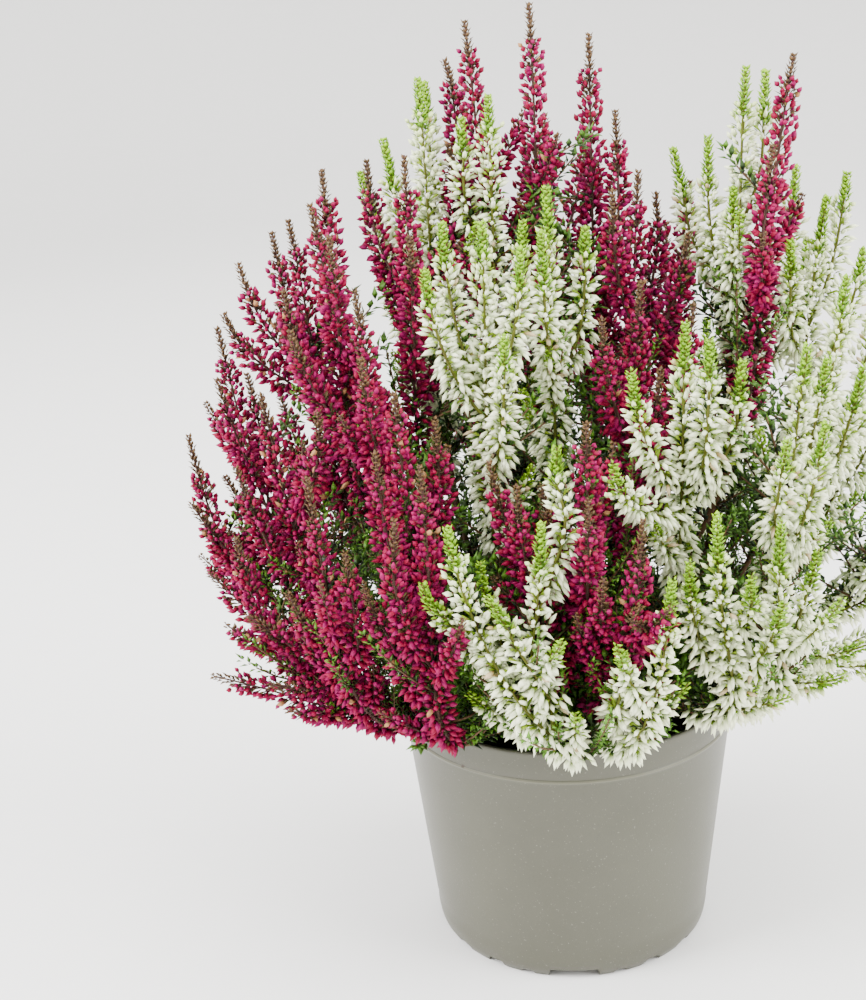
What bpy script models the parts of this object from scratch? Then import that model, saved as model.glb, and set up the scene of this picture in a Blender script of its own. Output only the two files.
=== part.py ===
"""Potted heather: six young heather plants, three crimson and three white, in one grower's pot.

All sizes below are millimetres. +Z is up, the pot's axis is Z and the pot stands on Z = 0, with the
picture's front at -Y. Each plant is a leafy stem piece that stands in a plain hole in the potting
soil and forks into branches. Each branch carries one spray: a flowering spike with its side spikes.
A spike is a slim three-sided core, a lattice of triangles, and each triangle is raised to the
pointed tip of a floret. What would touch a neighbouring piece is drawn in until it is clear of it.
"""

import math

import bpy
import bmesh
import numpy as np
from mathutils import Vector
from mathutils.bvhtree import BVHTree

MM = 0.001
SEED = 1207
GAP = 0.3

# Pot
POT_HEIGHT = 94.0
RIM_RADIUS = 60.0
WALL = 1.7
BASE_RADIUS = 50.6
FOOT_RADIUS = 47.8
FOOT_THICKNESS = 2.0
FLOOR_BELOW = 4.6
FLOOR_ABOVE = 6.4
BEAD_BELOW_RIM = 11.3
POT_SEGMENTS = 28
DRAIN_HOLES = 4
DRAIN_RADIUS = 4.0
DRAIN_RING = 33.0
# Notches of the foot: centre angle from -Y in degrees, width and height, repeated four times round
FOOT_NOTCHES = ((0.0, 17.0, 3.4), (20.0, 3.6, 1.5), (35.0, 6.0, 2.8), (55.0, 6.0, 2.8), (70.0, 3.6, 1.5))

# Potting soil
SOIL_EDGE = 83.0
SOIL_CROWN = 87.0
SOIL_SEGMENTS = 14
HOLE_DEPTH = 22.0
TRUNK_RADIUS = 2.6
BURL_RADIUS = 5.2
CROWN_RADIUS = 3.4
TRUNK_SIDES = 8

# Plants: name, flower colour, place of the trunk
CROWN_HEIGHT = 95.0
CROWN_REACH = 1.2
PLANTS = {
    "crimson_left": (-32.0, -6.0),
    "crimson_back": (8.0, 30.0),
    "crimson_front": (5.0, -8.0),
    "white_right": (33.0, 4.0),
    "white_front": (-10.0, -38.0),
    "white_back": (-22.0, 25.0),
}

# Sprays: plant, tip of the main spike, a place that the stem passes on its way there if it hangs
# over the rim or leans across its neighbours, tips of the side spikes
SPRAYS = (
    ("crimson_back", (-6, 2, 330), None, ((-9, 16, 286),)),
    ("crimson_back", (-27, 5, 325), None, ((-36, 13, 311),)),
    ("crimson_back", (13, 8, 319), None, ((21, 5, 295),)),
    ("crimson_back", (-2, 32, 292), None, ((12, 38, 284), (-12, 44, 262))),
    ("crimson_back", (28, -4, 276), None, ((36, 10, 267), (19, -14, 272), (44, -6, 256))),
    ("crimson_back", (47, 26, 268), None, ((40, 44, 250),)),
    ("crimson_back", (20, 72, 240), None, ((6, 82, 214), (34, 62, 232))),
    ("crimson_back", (30, 96, 180), (22, 62, 100), ((46, 94, 160), (14, 98, 158), (34, 80, 194))),
    ("crimson_back", (-38, 84, 226), None, ((-52, 74, 205), (-24, 84, 196))),
    ("crimson_front", (77, -6, 311), None, ((70, -14, 284),)),
    ("crimson_front", (-13, -82, 196), (0, -50, 118), ((-22, -70, 200), (-2, -78, 184))),
    ("crimson_front", (8, -80, 214), None, ((8, -92, 194), (-6, -66, 190))),
    ("crimson_front", (24, -90, 187), (9, -57, 111), ((28, -97, 162), (12, -94, 170))),
    ("crimson_front", (27, -32, 246), None, ((14, -46, 238), (32, -48, 222), (44, -26, 236))),
    ("crimson_left", (-48, -6, 285), None, ((-36, 6, 286), (-61, 10, 281), (-46, -24, 262))),
    ("crimson_left", (-79, -14, 271), None, ((-77, 6, 280), (-71, -32, 264), (-88, -26, 246))),
    ("crimson_left", (-90, 8, 263), None, ((-98, 22, 256), (-107, 2, 250), (-111, -12, 236))),
    ("crimson_left", (-117, 6, 226), None, ((-115, -14, 214), (-112, 26, 205))),
    ("crimson_left", (-62, -50, 250), None, ((-84, -44, 237), (-60, -62, 232))),
    ("crimson_left", (-129, -2, 190), (-66, 2, 102), ((-126, -22, 172), (-122, 16, 170))),
    ("crimson_left", (-96, -38, 214), None, ((-75, -58, 214), (-106, -40, 190))),
    ("crimson_left", (-106, -50, 170), (-60, -30, 100), ((-102, -64, 148), (-120, -34, 152))),
    ("crimson_left", (-78, -72, 196), (-49, -48, 98), ((-86, -76, 160), (-66, -84, 176))),
    ("crimson_left", (-116, -60, 125), (-54, -40, 98), ((-96, -66, 124),)),
    ("crimson_left", (-50, -68, 222), None, ((-56, -76, 206), (-38, -66, 212))),
    ("crimson_left", (-42, -84, 204), (-31, -60, 99), ((-58, -88, 168), (-50, -88, 188))),
    ("crimson_left", (-92, 44, 226), None, ((-104, 42, 196), (-78, 58, 214))),
    ("crimson_left", (-110, 48, 170), (-58, 30, 102), ((-118, 32, 150), (-96, 66, 156))),
    ("crimson_left", (-70, 84, 178), (-42, 50, 101), ((-58, 92, 154), (-86, 72, 160))),
    ("white_back", (-43, 2, 308), None, ((-38, 12, 306), (-56, 6, 289), (-66, 24, 276))),
    ("white_back", (-20, -5, 303), None, ((-27, 2, 296), (-10, -16, 264))),
    ("white_back", (-4, 62, 264), None, ((-26, 56, 262), (-10, 76, 232))),
    ("white_back", (-48, 44, 266), None, ((-62, 50, 246), (-50, 62, 238))),
    ("white_back", (-16, 98, 178), (-20, 64, 100), ((2, 98, 152), (-36, 94, 156), (-12, 82, 192))),
    ("white_front", (-2, -26, 276), None, ((-4, -40, 264), (10, -24, 262))),
    ("white_front", (-22, -44, 268), None, ((-35, -34, 267), (-40, -50, 256), (-10, -52, 262), (-16, -60, 236))),
    ("white_front", (-34, -93, 187), (5, -68, 99), ((-24, -97, 166),)),
    ("white_front", (-7, -88, 186), (-12, -60, 104), ((4, -78, 206), (-25, -84, 172), (-44, -84, 168))),
    ("white_right", (63, 2, 307), None, ((70, 9, 305), (51, 4, 285), (58, -10, 271), (40, 12, 281))),
    ("white_right", (90, 4, 264), None, ((80, 6, 274), (98, 14, 270), (101, -4, 248), (74, -12, 254))),
    ("white_right", (92, -28, 244), None, ((96, -40, 218), (84, -44, 222))),
    ("white_right", (39, -57, 238), None, ((46, -62, 234), (56, -60, 226), (22, -68, 226), (14, -82, 202))),
    ("white_right", (76, -56, 229), None, ((81, -64, 207), (68, -74, 205))),
    ("white_right", (46, -86, 186), (44, -52, 104), ((56, -90, 168), (38, -88, 172))),
    ("white_right", (66, -78, 181), (54, -42, 102), ((78, -74, 170), (66, -88, 158))),
    ("white_front", (32, -97, 170), (15, -67, 101), ((20, -96, 150),)),
    ("white_right", (112, -38, 114), (60, -20, 104), ((98, -60, 132), (88, -68, 124))),
    ("white_right", (129, -8, 186), (64, 2, 104), ((122, -26, 166), (128, 14, 160))),
    ("white_right", (112, 30, 224), None, ((120, 18, 204), (102, 46, 196))),
    ("white_right", (76, 42, 248), None, ((88, 34, 244), (62, 56, 236))),
    ("white_right", (104, 60, 172), (54, 34, 102), ((116, 44, 154), (90, 76, 158))),
    ("white_right", (58, 84, 206), (38, 52, 104), ((76, 72, 200), (64, 94, 158))),
)
SPRAY_COLOURS = ("crimson", "white")

# Spikes
SPIKE_SHARE = 0.30
SPIKE_LEAST = 58.0
SPIKE_LONGEST = 126.0
BRANCH_LEAST = 18.0
SIDE_REACH = 54.0
SIDE_BARE = 8.0
NECK = 4.0
TIP_LENGTH = {"crimson": 20.0, "white": 15.0}
FLORET_STEP = 12.4
CORE_RADIUS = 2.5
TIP_CORE_RADIUS = 1.3
FLORET_REACH = {"crimson": 6.5, "white": 7.2}
FLORET_NOD = {"crimson": 0.6, "white": 2.2}
TIP_REACH = 2.5
NECK_RADIUS = 1.1

# Branches below the sprays, and how steeply a stem rises past the place on its way
WAY_RISE = 0.28
BRANCH_RADIUS = 1.2
LEAF_REACH = 3.4
LEAF_STEP = 26.0

# Clearances between axes while the plants are eased apart
MAIN_ROOM = 5.6
SIDE_ROOM = 4.6
BRANCH_ROOM = 2.1
MAIN_POINTS = 26
SIDE_POINTS = 12
EASE_ROUNDS = 60

COLOURS = {
    "pot": ((0.285, 0.270, 0.220, 1), 0.55),
    "potting_soil": ((0.035, 0.022, 0.014, 1), 0.95),
    "crimson": ((0.560, 0.012, 0.110, 1), 0.60),
    "white": ((0.820, 0.850, 0.740, 1), 0.60),
    "stems": ((0.060, 0.130, 0.025, 1), 0.70),
}


def unit(vectors):
    """Scale an array of vectors to length one."""
    length = np.linalg.norm(vectors, axis=-1, keepdims=True)
    return vectors / np.maximum(length, 1e-9)


def cubic(start, handle_a, handle_b, end, count):
    """Points of a cubic curve with two handles, evenly spread along its length."""
    t = np.linspace(0, 1, 8 * count)[:, None]
    curve = ((1 - t) ** 3 * start + 3 * (1 - t) ** 2 * t * handle_a
             + 3 * (1 - t) * t ** 2 * handle_b + t ** 3 * end)
    return spread(curve, count)


def spread(curve, count):
    """The same polyline with its points evenly spread along its length."""
    run = lengths(curve)
    even = np.linspace(0, run[-1], count)
    return np.stack([np.interp(even, run, curve[:, axis]) for axis in range(3)], 1)


def lengths(curve):
    """Distance of each point from the curve's start, along the curve."""
    return np.concatenate([[0], np.cumsum(np.linalg.norm(np.diff(curve, axis=0), axis=1))])


def main_axis(plant, tip, way):
    """A stem leaves the crown low, towards its tip or the place on its way, and turns upwards."""
    place = np.array(PLANTS[plant])
    tip = np.array(tip, float)
    if way:
        return bowed_axis(place, np.array(way, float), tip)
    outward = unit(tip[:2] - place)
    crown = np.array([*(place + CROWN_REACH * outward), CROWN_HEIGHT])
    span = tip - crown
    chord = math.atan2(span[2], np.linalg.norm(span[:2]))
    bend = math.radians(7 + 62 * math.cos(chord))
    leave = max(chord - bend, min(chord, math.radians(8)))
    arrive = min(chord + bend, max(chord + math.radians(4), math.radians(80)))
    reach_out = (0.4 + 0.2 * math.cos(chord)) * np.linalg.norm(span)
    reach_up = 0.4 * np.linalg.norm(span)

    def heading(angle):
        return np.array([*(outward * math.cos(angle)), math.sin(angle)])

    return cubic(crown, crown + reach_out * heading(leave), tip - reach_up * heading(arrive), tip, MAIN_POINTS)


def bowed_axis(place, way, tip):
    """A stem from the crown past a place, where it heads away from the pot's axis, to its tip."""
    outward = unit(way - [*place, way[2]])
    crown = np.array([*place, CROWN_HEIGHT]) + CROWN_REACH * outward
    heading = unit(unit(way * [1, 1, 0]) + np.array([0, 0, WAY_RISE]))
    near, far = np.linalg.norm(way - crown), np.linalg.norm(tip - way)
    level = unit((tip - way) * [1, 1, 0])
    arrive = unit(0.12 * level + np.array([0, 0, 1.0])) if tip[2] - way[2] > 0.5 * far else unit(tip - way)
    first = cubic(crown, crown + 0.4 * near * outward, way - 0.3 * near * heading, way, MAIN_POINTS)
    second = cubic(way, way + 0.34 * far * heading, tip - 0.6 * far * arrive, tip, MAIN_POINTS)
    return spread(np.concatenate([first, second[1:]]), MAIN_POINTS)


def side_axis(main, flowering, tip):
    """A side spike forks off the main one about SIDE_REACH below its own tip and grows beside it."""
    tip = np.array(tip, float)
    away = np.linalg.norm(main - tip, axis=1)
    run = lengths(main)
    first = int(np.searchsorted(run, run[-1] - flowering + NECK + 5.0))
    fork = first + int(np.argmin(np.abs(away[first:] - SIDE_REACH)))
    start = main[fork]
    along = unit(main[min(fork + 1, len(main) - 1)] - main[fork - 1])
    span = tip - start
    aside = unit(span - np.dot(span, along) * along)
    reach = 0.36 * np.linalg.norm(span)
    leave = unit(along + 0.85 * aside)
    arrive = unit(0.75 * along + 0.25 * unit(span) + np.array([0, 0, 0.25]))
    return cubic(start, start + reach * leave, tip - reach * arrive, tip, SIDE_POINTS)


def ease_apart(paths, room, freedom, fixed, fixed_room):
    """Push curves that run too close to each other apart, and clear of the pot.

    Every point pushes away the points of other curves that are nearer than the sum of their rooms.
    The pushes are averaged along each curve, so that it stays smooth.
    """
    curves, count = paths.shape[:2]
    owner = np.repeat(np.arange(curves), count)
    owner = np.concatenate([owner, np.full(len(fixed), -1)])
    room_all = np.concatenate([room.ravel(), fixed_room])
    for _ in range(EASE_ROUNDS):
        points = np.concatenate([paths.reshape(-1, 3), fixed])
        square = (points ** 2).sum(1)
        apart = square[:, None] + square[None, :] - 2 * points @ points.T
        need = room_all[:, None] + room_all[None, :]
        close = (apart < need ** 2) & (owner[:, None] != owner[None, :])
        one, other = np.nonzero(np.triu(close, 1))
        away = points[one] - points[other]
        gap = np.maximum(np.linalg.norm(away, axis=1, keepdims=True), 1e-6)
        push = 0.5 * (need[one, other][:, None] - gap) * away / gap
        shift = np.zeros_like(points)
        np.add.at(shift, one, push)
        np.add.at(shift, other, -push)
        shift = shift[:curves * count].reshape(paths.shape)
        shift += clear_of_pot(paths, room)
        for _ in range(3):
            smooth = shift.copy()
            smooth[:, 1:-1] = (shift[:, :-2] + 2 * shift[:, 1:-1] + shift[:, 2:]) / 4
            shift = smooth
        step = np.clip(np.linalg.norm(shift, axis=2, keepdims=True), 1e-6, None)
        paths = paths + shift / step * np.minimum(step, 1.5) * freedom[..., None]
    return paths


def clear_of_pot(paths, room):
    """A push up off the rim, or out from the wall, for points that are too near the pot."""
    radius = np.linalg.norm(paths[..., :2], axis=2)
    outward = paths[..., :2] / np.maximum(radius, 1e-6)[..., None]
    shift = np.zeros_like(paths)
    keep = np.minimum(room, 3.2) + 0.8
    over = (radius > RIM_RADIUS - 10) & (radius < RIM_RADIUS + 2)
    lift = np.where(over, np.maximum(POT_HEIGHT + keep - paths[..., 2], 0), 0)
    beside = (radius >= RIM_RADIUS + 2) & (paths[..., 2] < POT_HEIGHT + keep)
    out = np.where(beside, np.maximum(RIM_RADIUS + keep - radius, 0), 0)
    shift[..., 2] += lift
    shift[..., :2] += outward * out[..., None]
    return shift


def place_axes():
    """Axes of all sprays: for each, its main curve, its flowering length and its side curves."""
    mains = np.stack([main_axis(plant, tip, way) for plant, tip, way, _ in SPRAYS])
    totals = np.array([lengths(curve)[-1] for curve in mains])
    flowering = np.minimum(SPIKE_LEAST + SPIKE_SHARE * totals, totals - BRANCH_LEAST)
    flowering = np.minimum(flowering, SPIKE_LONGEST)
    run = np.linspace(0, 1, MAIN_POINTS)[None, :] * totals[:, None]
    in_flower = run > (totals - flowering)[:, None] - 4
    room = np.where(in_flower, MAIN_ROOM, BRANCH_ROOM)
    room[:, :2] = 0.0
    freedom = np.clip((run - 4) / 30, 0, 1)
    nothing = np.zeros((0, 3))
    mains = ease_apart(mains, room, freedom, nothing, np.zeros(0))
    mains = np.stack([spread(curve, MAIN_POINTS) for curve in mains])

    sides, owners = [], []
    for index, (_, _, _, tips) in enumerate(SPRAYS):
        for tip in tips:
            sides.append(side_axis(mains[index], flowering[index], tip))
            owners.append(index)
    sides = np.stack(sides)
    along = np.linspace(0, 1, SIDE_POINTS)
    side_room = np.where(along > 0.34, SIDE_ROOM, 0.0)[None, :].repeat(len(sides), 0)
    side_freedom = np.clip((along - 0.05) * 1.8, 0, 1)[None, :].repeat(len(sides), 0)
    sides = ease_apart(sides, side_room, side_freedom, mains.reshape(-1, 3),
                       np.where(room.ravel() > BRANCH_ROOM, SIDE_ROOM, room.ravel()))
    sides = np.stack([spread(curve, SIDE_POINTS) for curve in sides])
    return mains, flowering, sides, owners


class Frame:
    """A curve with a direction and two side directions at any distance along it."""

    def __init__(self, curve):
        self.run = lengths(curve)
        self.total = self.run[-1]
        self.curve = curve
        self.tangent = unit(np.gradient(curve, axis=0))
        side = np.cross(self.tangent[0], [0.3, 0.9, 0.1])
        sides = []
        for tangent in self.tangent:
            side = unit(side - np.dot(side, tangent) * tangent)
            sides.append(side)
        self.side = np.array(sides)

    def at(self, distance):
        """Point, direction and two side directions at each distance."""
        def read(values):
            return np.stack([np.interp(distance, self.run, values[:, axis]) for axis in range(3)], -1)
        tangent = unit(read(self.tangent))
        side = read(self.side)
        side = unit(side - (side * tangent).sum(-1, keepdims=True) * tangent)
        return read(self.curve), tangent, side, np.cross(tangent, side)


class Lattice:
    """A closed three-sided tube whose triangles may be raised to a point.

    Each ring is turned by 60 degrees against the one before, so the wall between two rings is six
    triangles. A raised triangle becomes three, which meet at a floret's or a leaf's tip.
    """

    def __init__(self, frame, stations, radii, turn, stagger=0.0):
        count = len(stations)
        around = turn + np.radians(60) * np.arange(count)[:, None] + np.radians(120) * np.arange(3)[None, :]
        shift = np.zeros((count, 3))
        shift[2:-1] = stagger * np.array([-1.0, 0.0, 1.0])
        centre, _, side, across = frame.at((np.asarray(stations)[:, None] + shift).ravel())
        ring = np.cos(around).reshape(-1, 1) * side + np.sin(around).reshape(-1, 1) * across
        self.frame = frame
        self.stations = np.asarray(stations, float)
        self.points = list(centre + ring * np.repeat(radii, 3)[:, None])
        self.faces = [(2, 1, 0)]
        self.seats = {}

    def plain(self, gap):
        """The six triangles between ring number gap and the next."""
        low, high = 3 * gap, 3 * gap + 3
        ups = [(low + i, low + (i + 1) % 3, high + i) for i in range(3)]
        downs = [(high + i, low + (i + 1) % 3, high + (i + 1) % 3) for i in range(3)]
        return ups, downs

    def wall(self, gap):
        """Close the wall between two rings with flat triangles."""
        ups, downs = self.plain(gap)
        self.faces += ups + downs

    def raise_gap(self, gap, reach, nod, draw):
        """Close the wall between two rings: three triangles flat, three raised to points.

        A point stands out by reach from the axis and hangs by nod below the lower ring.
        """
        ups, downs = self.plain(gap)
        self.faces += downs
        centre, tangent, _, _ = self.frame.at(self.stations[gap:gap + 1])
        for face in ups:
            seat = np.mean([self.points[i] for i in face], axis=0)
            foot = np.mean([self.points[i] for i in face[:2]], axis=0)
            outward = seat - centre[0]
            outward = unit(outward - np.dot(outward, tangent[0]) * tangent[0])
            aside = np.cross(tangent[0], outward) * draw.uniform(-0.28, 0.28)
            low = centre[0] + np.dot(foot - centre[0], tangent[0]) * tangent[0]
            drop = nod + 0.8 * draw.uniform(-1.0, 1.0)
            length = reach * draw.uniform(0.9, 1.1)
            self.points.append(low + length * unit(outward + aside) - tangent[0] * drop)
            number = len(self.points) - 1
            self.seats[number] = seat
            a, b, c = face
            self.faces += [(a, b, number), (b, c, number), (c, a, number)]

    def close(self, tip_length):
        """End the last ring in a point."""
        last = len(self.stations) * 3 - 3
        centre, tangent, _, _ = self.frame.at(self.stations[-1:])
        self.points.append(centre[0] + tangent[0] * tip_length)
        number = len(self.points) - 1
        self.faces += [(last + i, last + (i + 1) % 3, number) for i in range(3)]

    def flat_end(self):
        """End the last ring flat."""
        last = len(self.stations) * 3 - 3
        self.faces.append((last, last + 1, last + 2))

    def tree(self, swell=0.0):
        """A search tree of the faces, with the raised points pushed out by swell."""
        points = np.array(self.points)
        for number, seat in self.seats.items():
            points[number] += swell * unit(points[number] - seat)
        return BVHTree.FromPolygons([Vector(p) for p in points], self.faces)

    def bounds(self):
        """Lowest and highest corner, with a millimetre to spare."""
        points = np.array(self.points)
        return points.min(0) - 1, points.max(0) + 1

    def draw_in(self, face_numbers, share):
        """Shorten the florets or leaves that own the given faces."""
        for number in {self.faces[i][2] for i in face_numbers} & set(self.seats):
            seat = self.seats[number]
            self.points[number] = seat + share * (self.points[number] - seat)


def spike(curve, colour, start, bare, draw):
    """One flowering spike along a curve from the distance start to its tip."""
    frame = Frame(curve)
    total = frame.total
    tip_length = TIP_LENGTH[colour] * draw.uniform(0.8, 1.2)
    first = start + bare
    top = total - tip_length
    gaps = max(2, round((top - first) / FLORET_STEP))
    flowering = np.linspace(first, top, gaps + 1)
    stations = np.concatenate([[start], flowering, [total - 0.35 * tip_length]])
    taper = np.linspace(1.0, 0.86, gaps + 1)
    radii = np.concatenate([[NECK_RADIUS], CORE_RADIUS * taper, [TIP_CORE_RADIUS * 0.8]])
    radii[1] = 0.8 * CORE_RADIUS
    radii[-2] = TIP_CORE_RADIUS
    step = (top - first) / gaps
    body = Lattice(frame, stations, radii, draw.uniform(0, 2 * math.pi), step / 3)
    body.wall(0)
    for gap in range(1, gaps + 1):
        height = (gap - 0.5) / gaps
        reach = FLORET_REACH[colour] * min(1.0, 0.90 + 0.6 * height, 1.72 - height)
        body.raise_gap(gap, reach, FLORET_NOD[colour] * (1.15 - 0.6 * height), draw)
    body.raise_gap(gaps + 1, TIP_REACH, -2.0, draw)
    body.close(0.35 * tip_length)
    return body


def branch(curve, end, draw, leafy_gaps=2):
    """A woody branch from the crown to a spray, with leaves on its upper part."""
    frame = Frame(curve)
    gaps = max(2, round(end / LEAF_STEP))
    stations = np.linspace(1.0, end, gaps + 1)
    radii = np.linspace(BRANCH_RADIUS, NECK_RADIUS, gaps + 1)
    body = Lattice(frame, stations, radii, draw.uniform(0, 2 * math.pi))
    for gap in range(gaps):
        if gap >= gaps - leafy_gaps and gap > 0:
            body.raise_gap(gap, LEAF_REACH, -6.0, draw)
        else:
            body.wall(gap)
    body.flat_end()
    return body


def trunk(plant, draw):
    """The short trunk with its burl, from the bottom of its hole in the soil to the crown."""
    x, y = PLANTS[plant]
    levels = np.array([SOIL_EDGE - HOLE_DEPTH + 2 * GAP, SOIL_EDGE + 3, CROWN_HEIGHT - 3.5, CROWN_HEIGHT + 2.5])
    radii = np.array([0.75 * TRUNK_RADIUS, TRUNK_RADIUS, BURL_RADIUS, CROWN_RADIUS])
    mesh = bmesh.new()
    rings = []
    for level, radius in zip(levels, radii):
        angles = np.arange(TRUNK_SIDES) * 2 * math.pi / TRUNK_SIDES
        rings.append([mesh.verts.new((x + radius * math.cos(a), y + radius * math.sin(a), level))
                      for a in angles])
    for low, high in zip(rings, rings[1:]):
        for i in range(TRUNK_SIDES):
            j = (i + 1) % TRUNK_SIDES
            mesh.faces.new((low[i], low[j], high[j], high[i]))
    mesh.faces.new(rings[0][::-1])
    mesh.faces.new(rings[-1])
    return mesh


def draw_in_crossings(pieces, rounds=14, share=0.72):
    """Shorten florets and leaves that reach into another piece until nothing crosses.

    pieces is a list of (owner, lattice).
    """
    for _ in range(rounds):
        trees = [body.tree(0.45) for _, body in pieces]
        boxes = [body.bounds() for _, body in pieces]
        low = np.array([box[0] for box in boxes])
        high = np.array([box[1] for box in boxes])
        meet = (low[:, None] <= high[None, :]).all(2) & (low[None, :] <= high[:, None]).all(2)
        marks = [set() for _ in pieces]
        for one, other in zip(*np.nonzero(np.triu(meet, 1))):
            for face_a, face_b in trees[one].overlap(trees[other]):
                marks[one].add(face_a)
                marks[other].add(face_b)
        for (_, body), faces in zip(pieces, marks):
            body.draw_in(faces, share)
        if not any(marks):
            break


def material(name, colour, roughness):
    """A plain Principled material."""
    made = bpy.data.materials.new(name)
    made.use_nodes = True
    shader = made.node_tree.nodes["Principled BSDF"]
    shader.inputs["Base Color"].default_value = colour
    shader.inputs["Roughness"].default_value = roughness
    shader.inputs["Metallic"].default_value = 0.0
    made.diffuse_color = colour
    return made


def finished_object(name, mesh, kind):
    """An object in metres from a bmesh in millimetres, with its own material."""
    bmesh.ops.scale(mesh, vec=(MM, MM, MM), verts=mesh.verts)
    data = bpy.data.meshes.new(name)
    mesh.to_mesh(data)
    mesh.free()
    colour, roughness = COLOURS[kind]
    data.materials.append(material(name, colour, roughness))
    thing = bpy.data.objects.new(name, data)
    bpy.context.scene.collection.objects.link(thing)
    return thing


def lattice_mesh(body):
    """A bmesh with the points and faces of a lattice."""
    mesh = bmesh.new()
    corners = [mesh.verts.new(point) for point in body.points]
    for face in body.faces:
        mesh.faces.new([corners[i] for i in face])
    return mesh


def apply_modifiers(thing):
    """Replace an object's mesh by what its modifiers make of it."""
    graph = bpy.context.evaluated_depsgraph_get()
    data = bpy.data.meshes.new_from_object(thing.evaluated_get(graph))
    thing.modifiers.clear()
    thing.data = data


def joined(name, meshes, kind):
    """One closed object from several closed meshes, joined by a Boolean union."""
    thing = finished_object(name, meshes[0], kind)
    if len(meshes) == 1:
        return thing
    group = bpy.data.collections.new(name + "_joined")
    others = [finished_object(name + "_branch", mesh, kind) for mesh in meshes[1:]]
    for other in others:
        group.objects.link(other)
        bpy.context.scene.collection.objects.unlink(other)
    bpy.context.scene.collection.children.link(group)
    union = thing.modifiers.new("Union", "BOOLEAN")
    union.operation = "UNION"
    union.operand_type = "COLLECTION"
    union.collection = group
    union.solver = "MANIFOLD"
    apply_modifiers(thing)
    for other in others:
        bpy.data.objects.remove(other)
    bpy.data.collections.remove(group)
    keep = thing.data.materials[0]
    thing.data.materials.clear()
    thing.data.materials.append(keep)
    drop_scraps(thing)
    return thing


def drop_scraps(thing):
    """Keep only the largest connected body of an object."""
    mesh = bmesh.new()
    mesh.from_mesh(thing.data)
    waiting = set(mesh.verts)
    bodies = []
    while waiting:
        body, edge = set(), [waiting.pop()]
        while edge:
            corner = edge.pop()
            body.add(corner)
            near = {link.other_vert(corner) for link in corner.link_edges} & waiting
            waiting -= near
            edge += near
        bodies.append(body)
    bodies.sort(key=len)
    for scrap in bodies[:-1]:
        bmesh.ops.delete(mesh, geom=list(scrap), context="VERTS")
    mesh.to_mesh(thing.data)
    mesh.free()


def cut(thing, cutter):
    """Cut a closed mesh out of an object."""
    cutter.hide_render = True
    cutter.display_type = "WIRE"
    change = thing.modifiers.new("Cut", "BOOLEAN")
    change.operation = "DIFFERENCE"
    change.object = cutter
    apply_modifiers(thing)
    bpy.data.objects.remove(cutter)


def turned(profile, segments):
    """A closed bmesh turned round Z from (radius, height) pairs, which start and end on the axis."""
    mesh = bmesh.new()
    angles = (np.arange(segments) + 0.5) * 2 * math.pi / segments
    rings = []
    for radius, height in profile:
        if radius == 0:
            rings.append([mesh.verts.new((0, 0, height))])
        else:
            rings.append([mesh.verts.new((radius * math.cos(a), radius * math.sin(a), height))
                          for a in angles])
    for one, other in zip(rings, rings[1:]):
        for i in range(segments):
            j = (i + 1) % segments
            if len(one) == 1:
                mesh.faces.new((one[0], other[j], other[i]))
            elif len(other) == 1:
                mesh.faces.new((one[i], one[j], other[0]))
            else:
                mesh.faces.new((one[i], one[j], other[j], other[i]))
    return mesh


def wall_radius(height):
    """Outer radius of the pot's straight tapered wall at a height."""
    share = (height - 12.0) / (POT_HEIGHT - 12.0)
    return BASE_RADIUS + share * (RIM_RADIUS - BASE_RADIUS)


def make_pot():
    """The grower's pot: tapered wall with a fine bead under the rim, raised floor, notched foot."""
    bead = POT_HEIGHT - BEAD_BELOW_RIM
    inner_foot = FOOT_RADIUS - FOOT_THICKNESS
    profile = (
        (0, FLOOR_BELOW),
        (inner_foot - 1.0, FLOOR_BELOW),
        (inner_foot, 0),
        (FOOT_RADIUS, 0),
        (FOOT_RADIUS + 1.5, 2.6),
        (FOOT_RADIUS + 2.4, 7.0),
        (wall_radius(12.0), 12.0),
        (wall_radius(bead) - 0.2, bead - 0.7),
        (wall_radius(bead) + 0.3, bead),
        (wall_radius(bead), bead + 0.5),
        (RIM_RADIUS, POT_HEIGHT - 0.7),
        (RIM_RADIUS - 0.5, POT_HEIGHT),
        (RIM_RADIUS - 1.8, POT_HEIGHT),
        (RIM_RADIUS - 2.2, POT_HEIGHT - 0.6),
        (wall_radius(12.0) - WALL, 12.0),
        (inner_foot - 0.5, FLOOR_ABOVE),
        (0, FLOOR_ABOVE),
    )
    pot = finished_object("pot", turned(profile, POT_SEGMENTS), "pot")
    cutter = bmesh.new()
    for quarter in range(4):
        for angle, width, height in FOOT_NOTCHES:
            turn = math.radians(-90 + 90 * quarter + angle)
            add_block(cutter, turn, FOOT_RADIUS, width, height)
    for hole in range(DRAIN_HOLES):
        turn = 2 * math.pi * (hole + 0.5) / DRAIN_HOLES
        place = (DRAIN_RING * math.cos(turn), DRAIN_RING * math.sin(turn), FLOOR_BELOW)
        add_cylinder(cutter, place, DRAIN_RADIUS, 6.0, 10)
    cut(pot, finished_object("foot_cutter", cutter, "pot"))
    pot.data.shade_smooth()
    pot.data.set_sharp_from_angle(angle=math.radians(35))
    return pot


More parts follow.
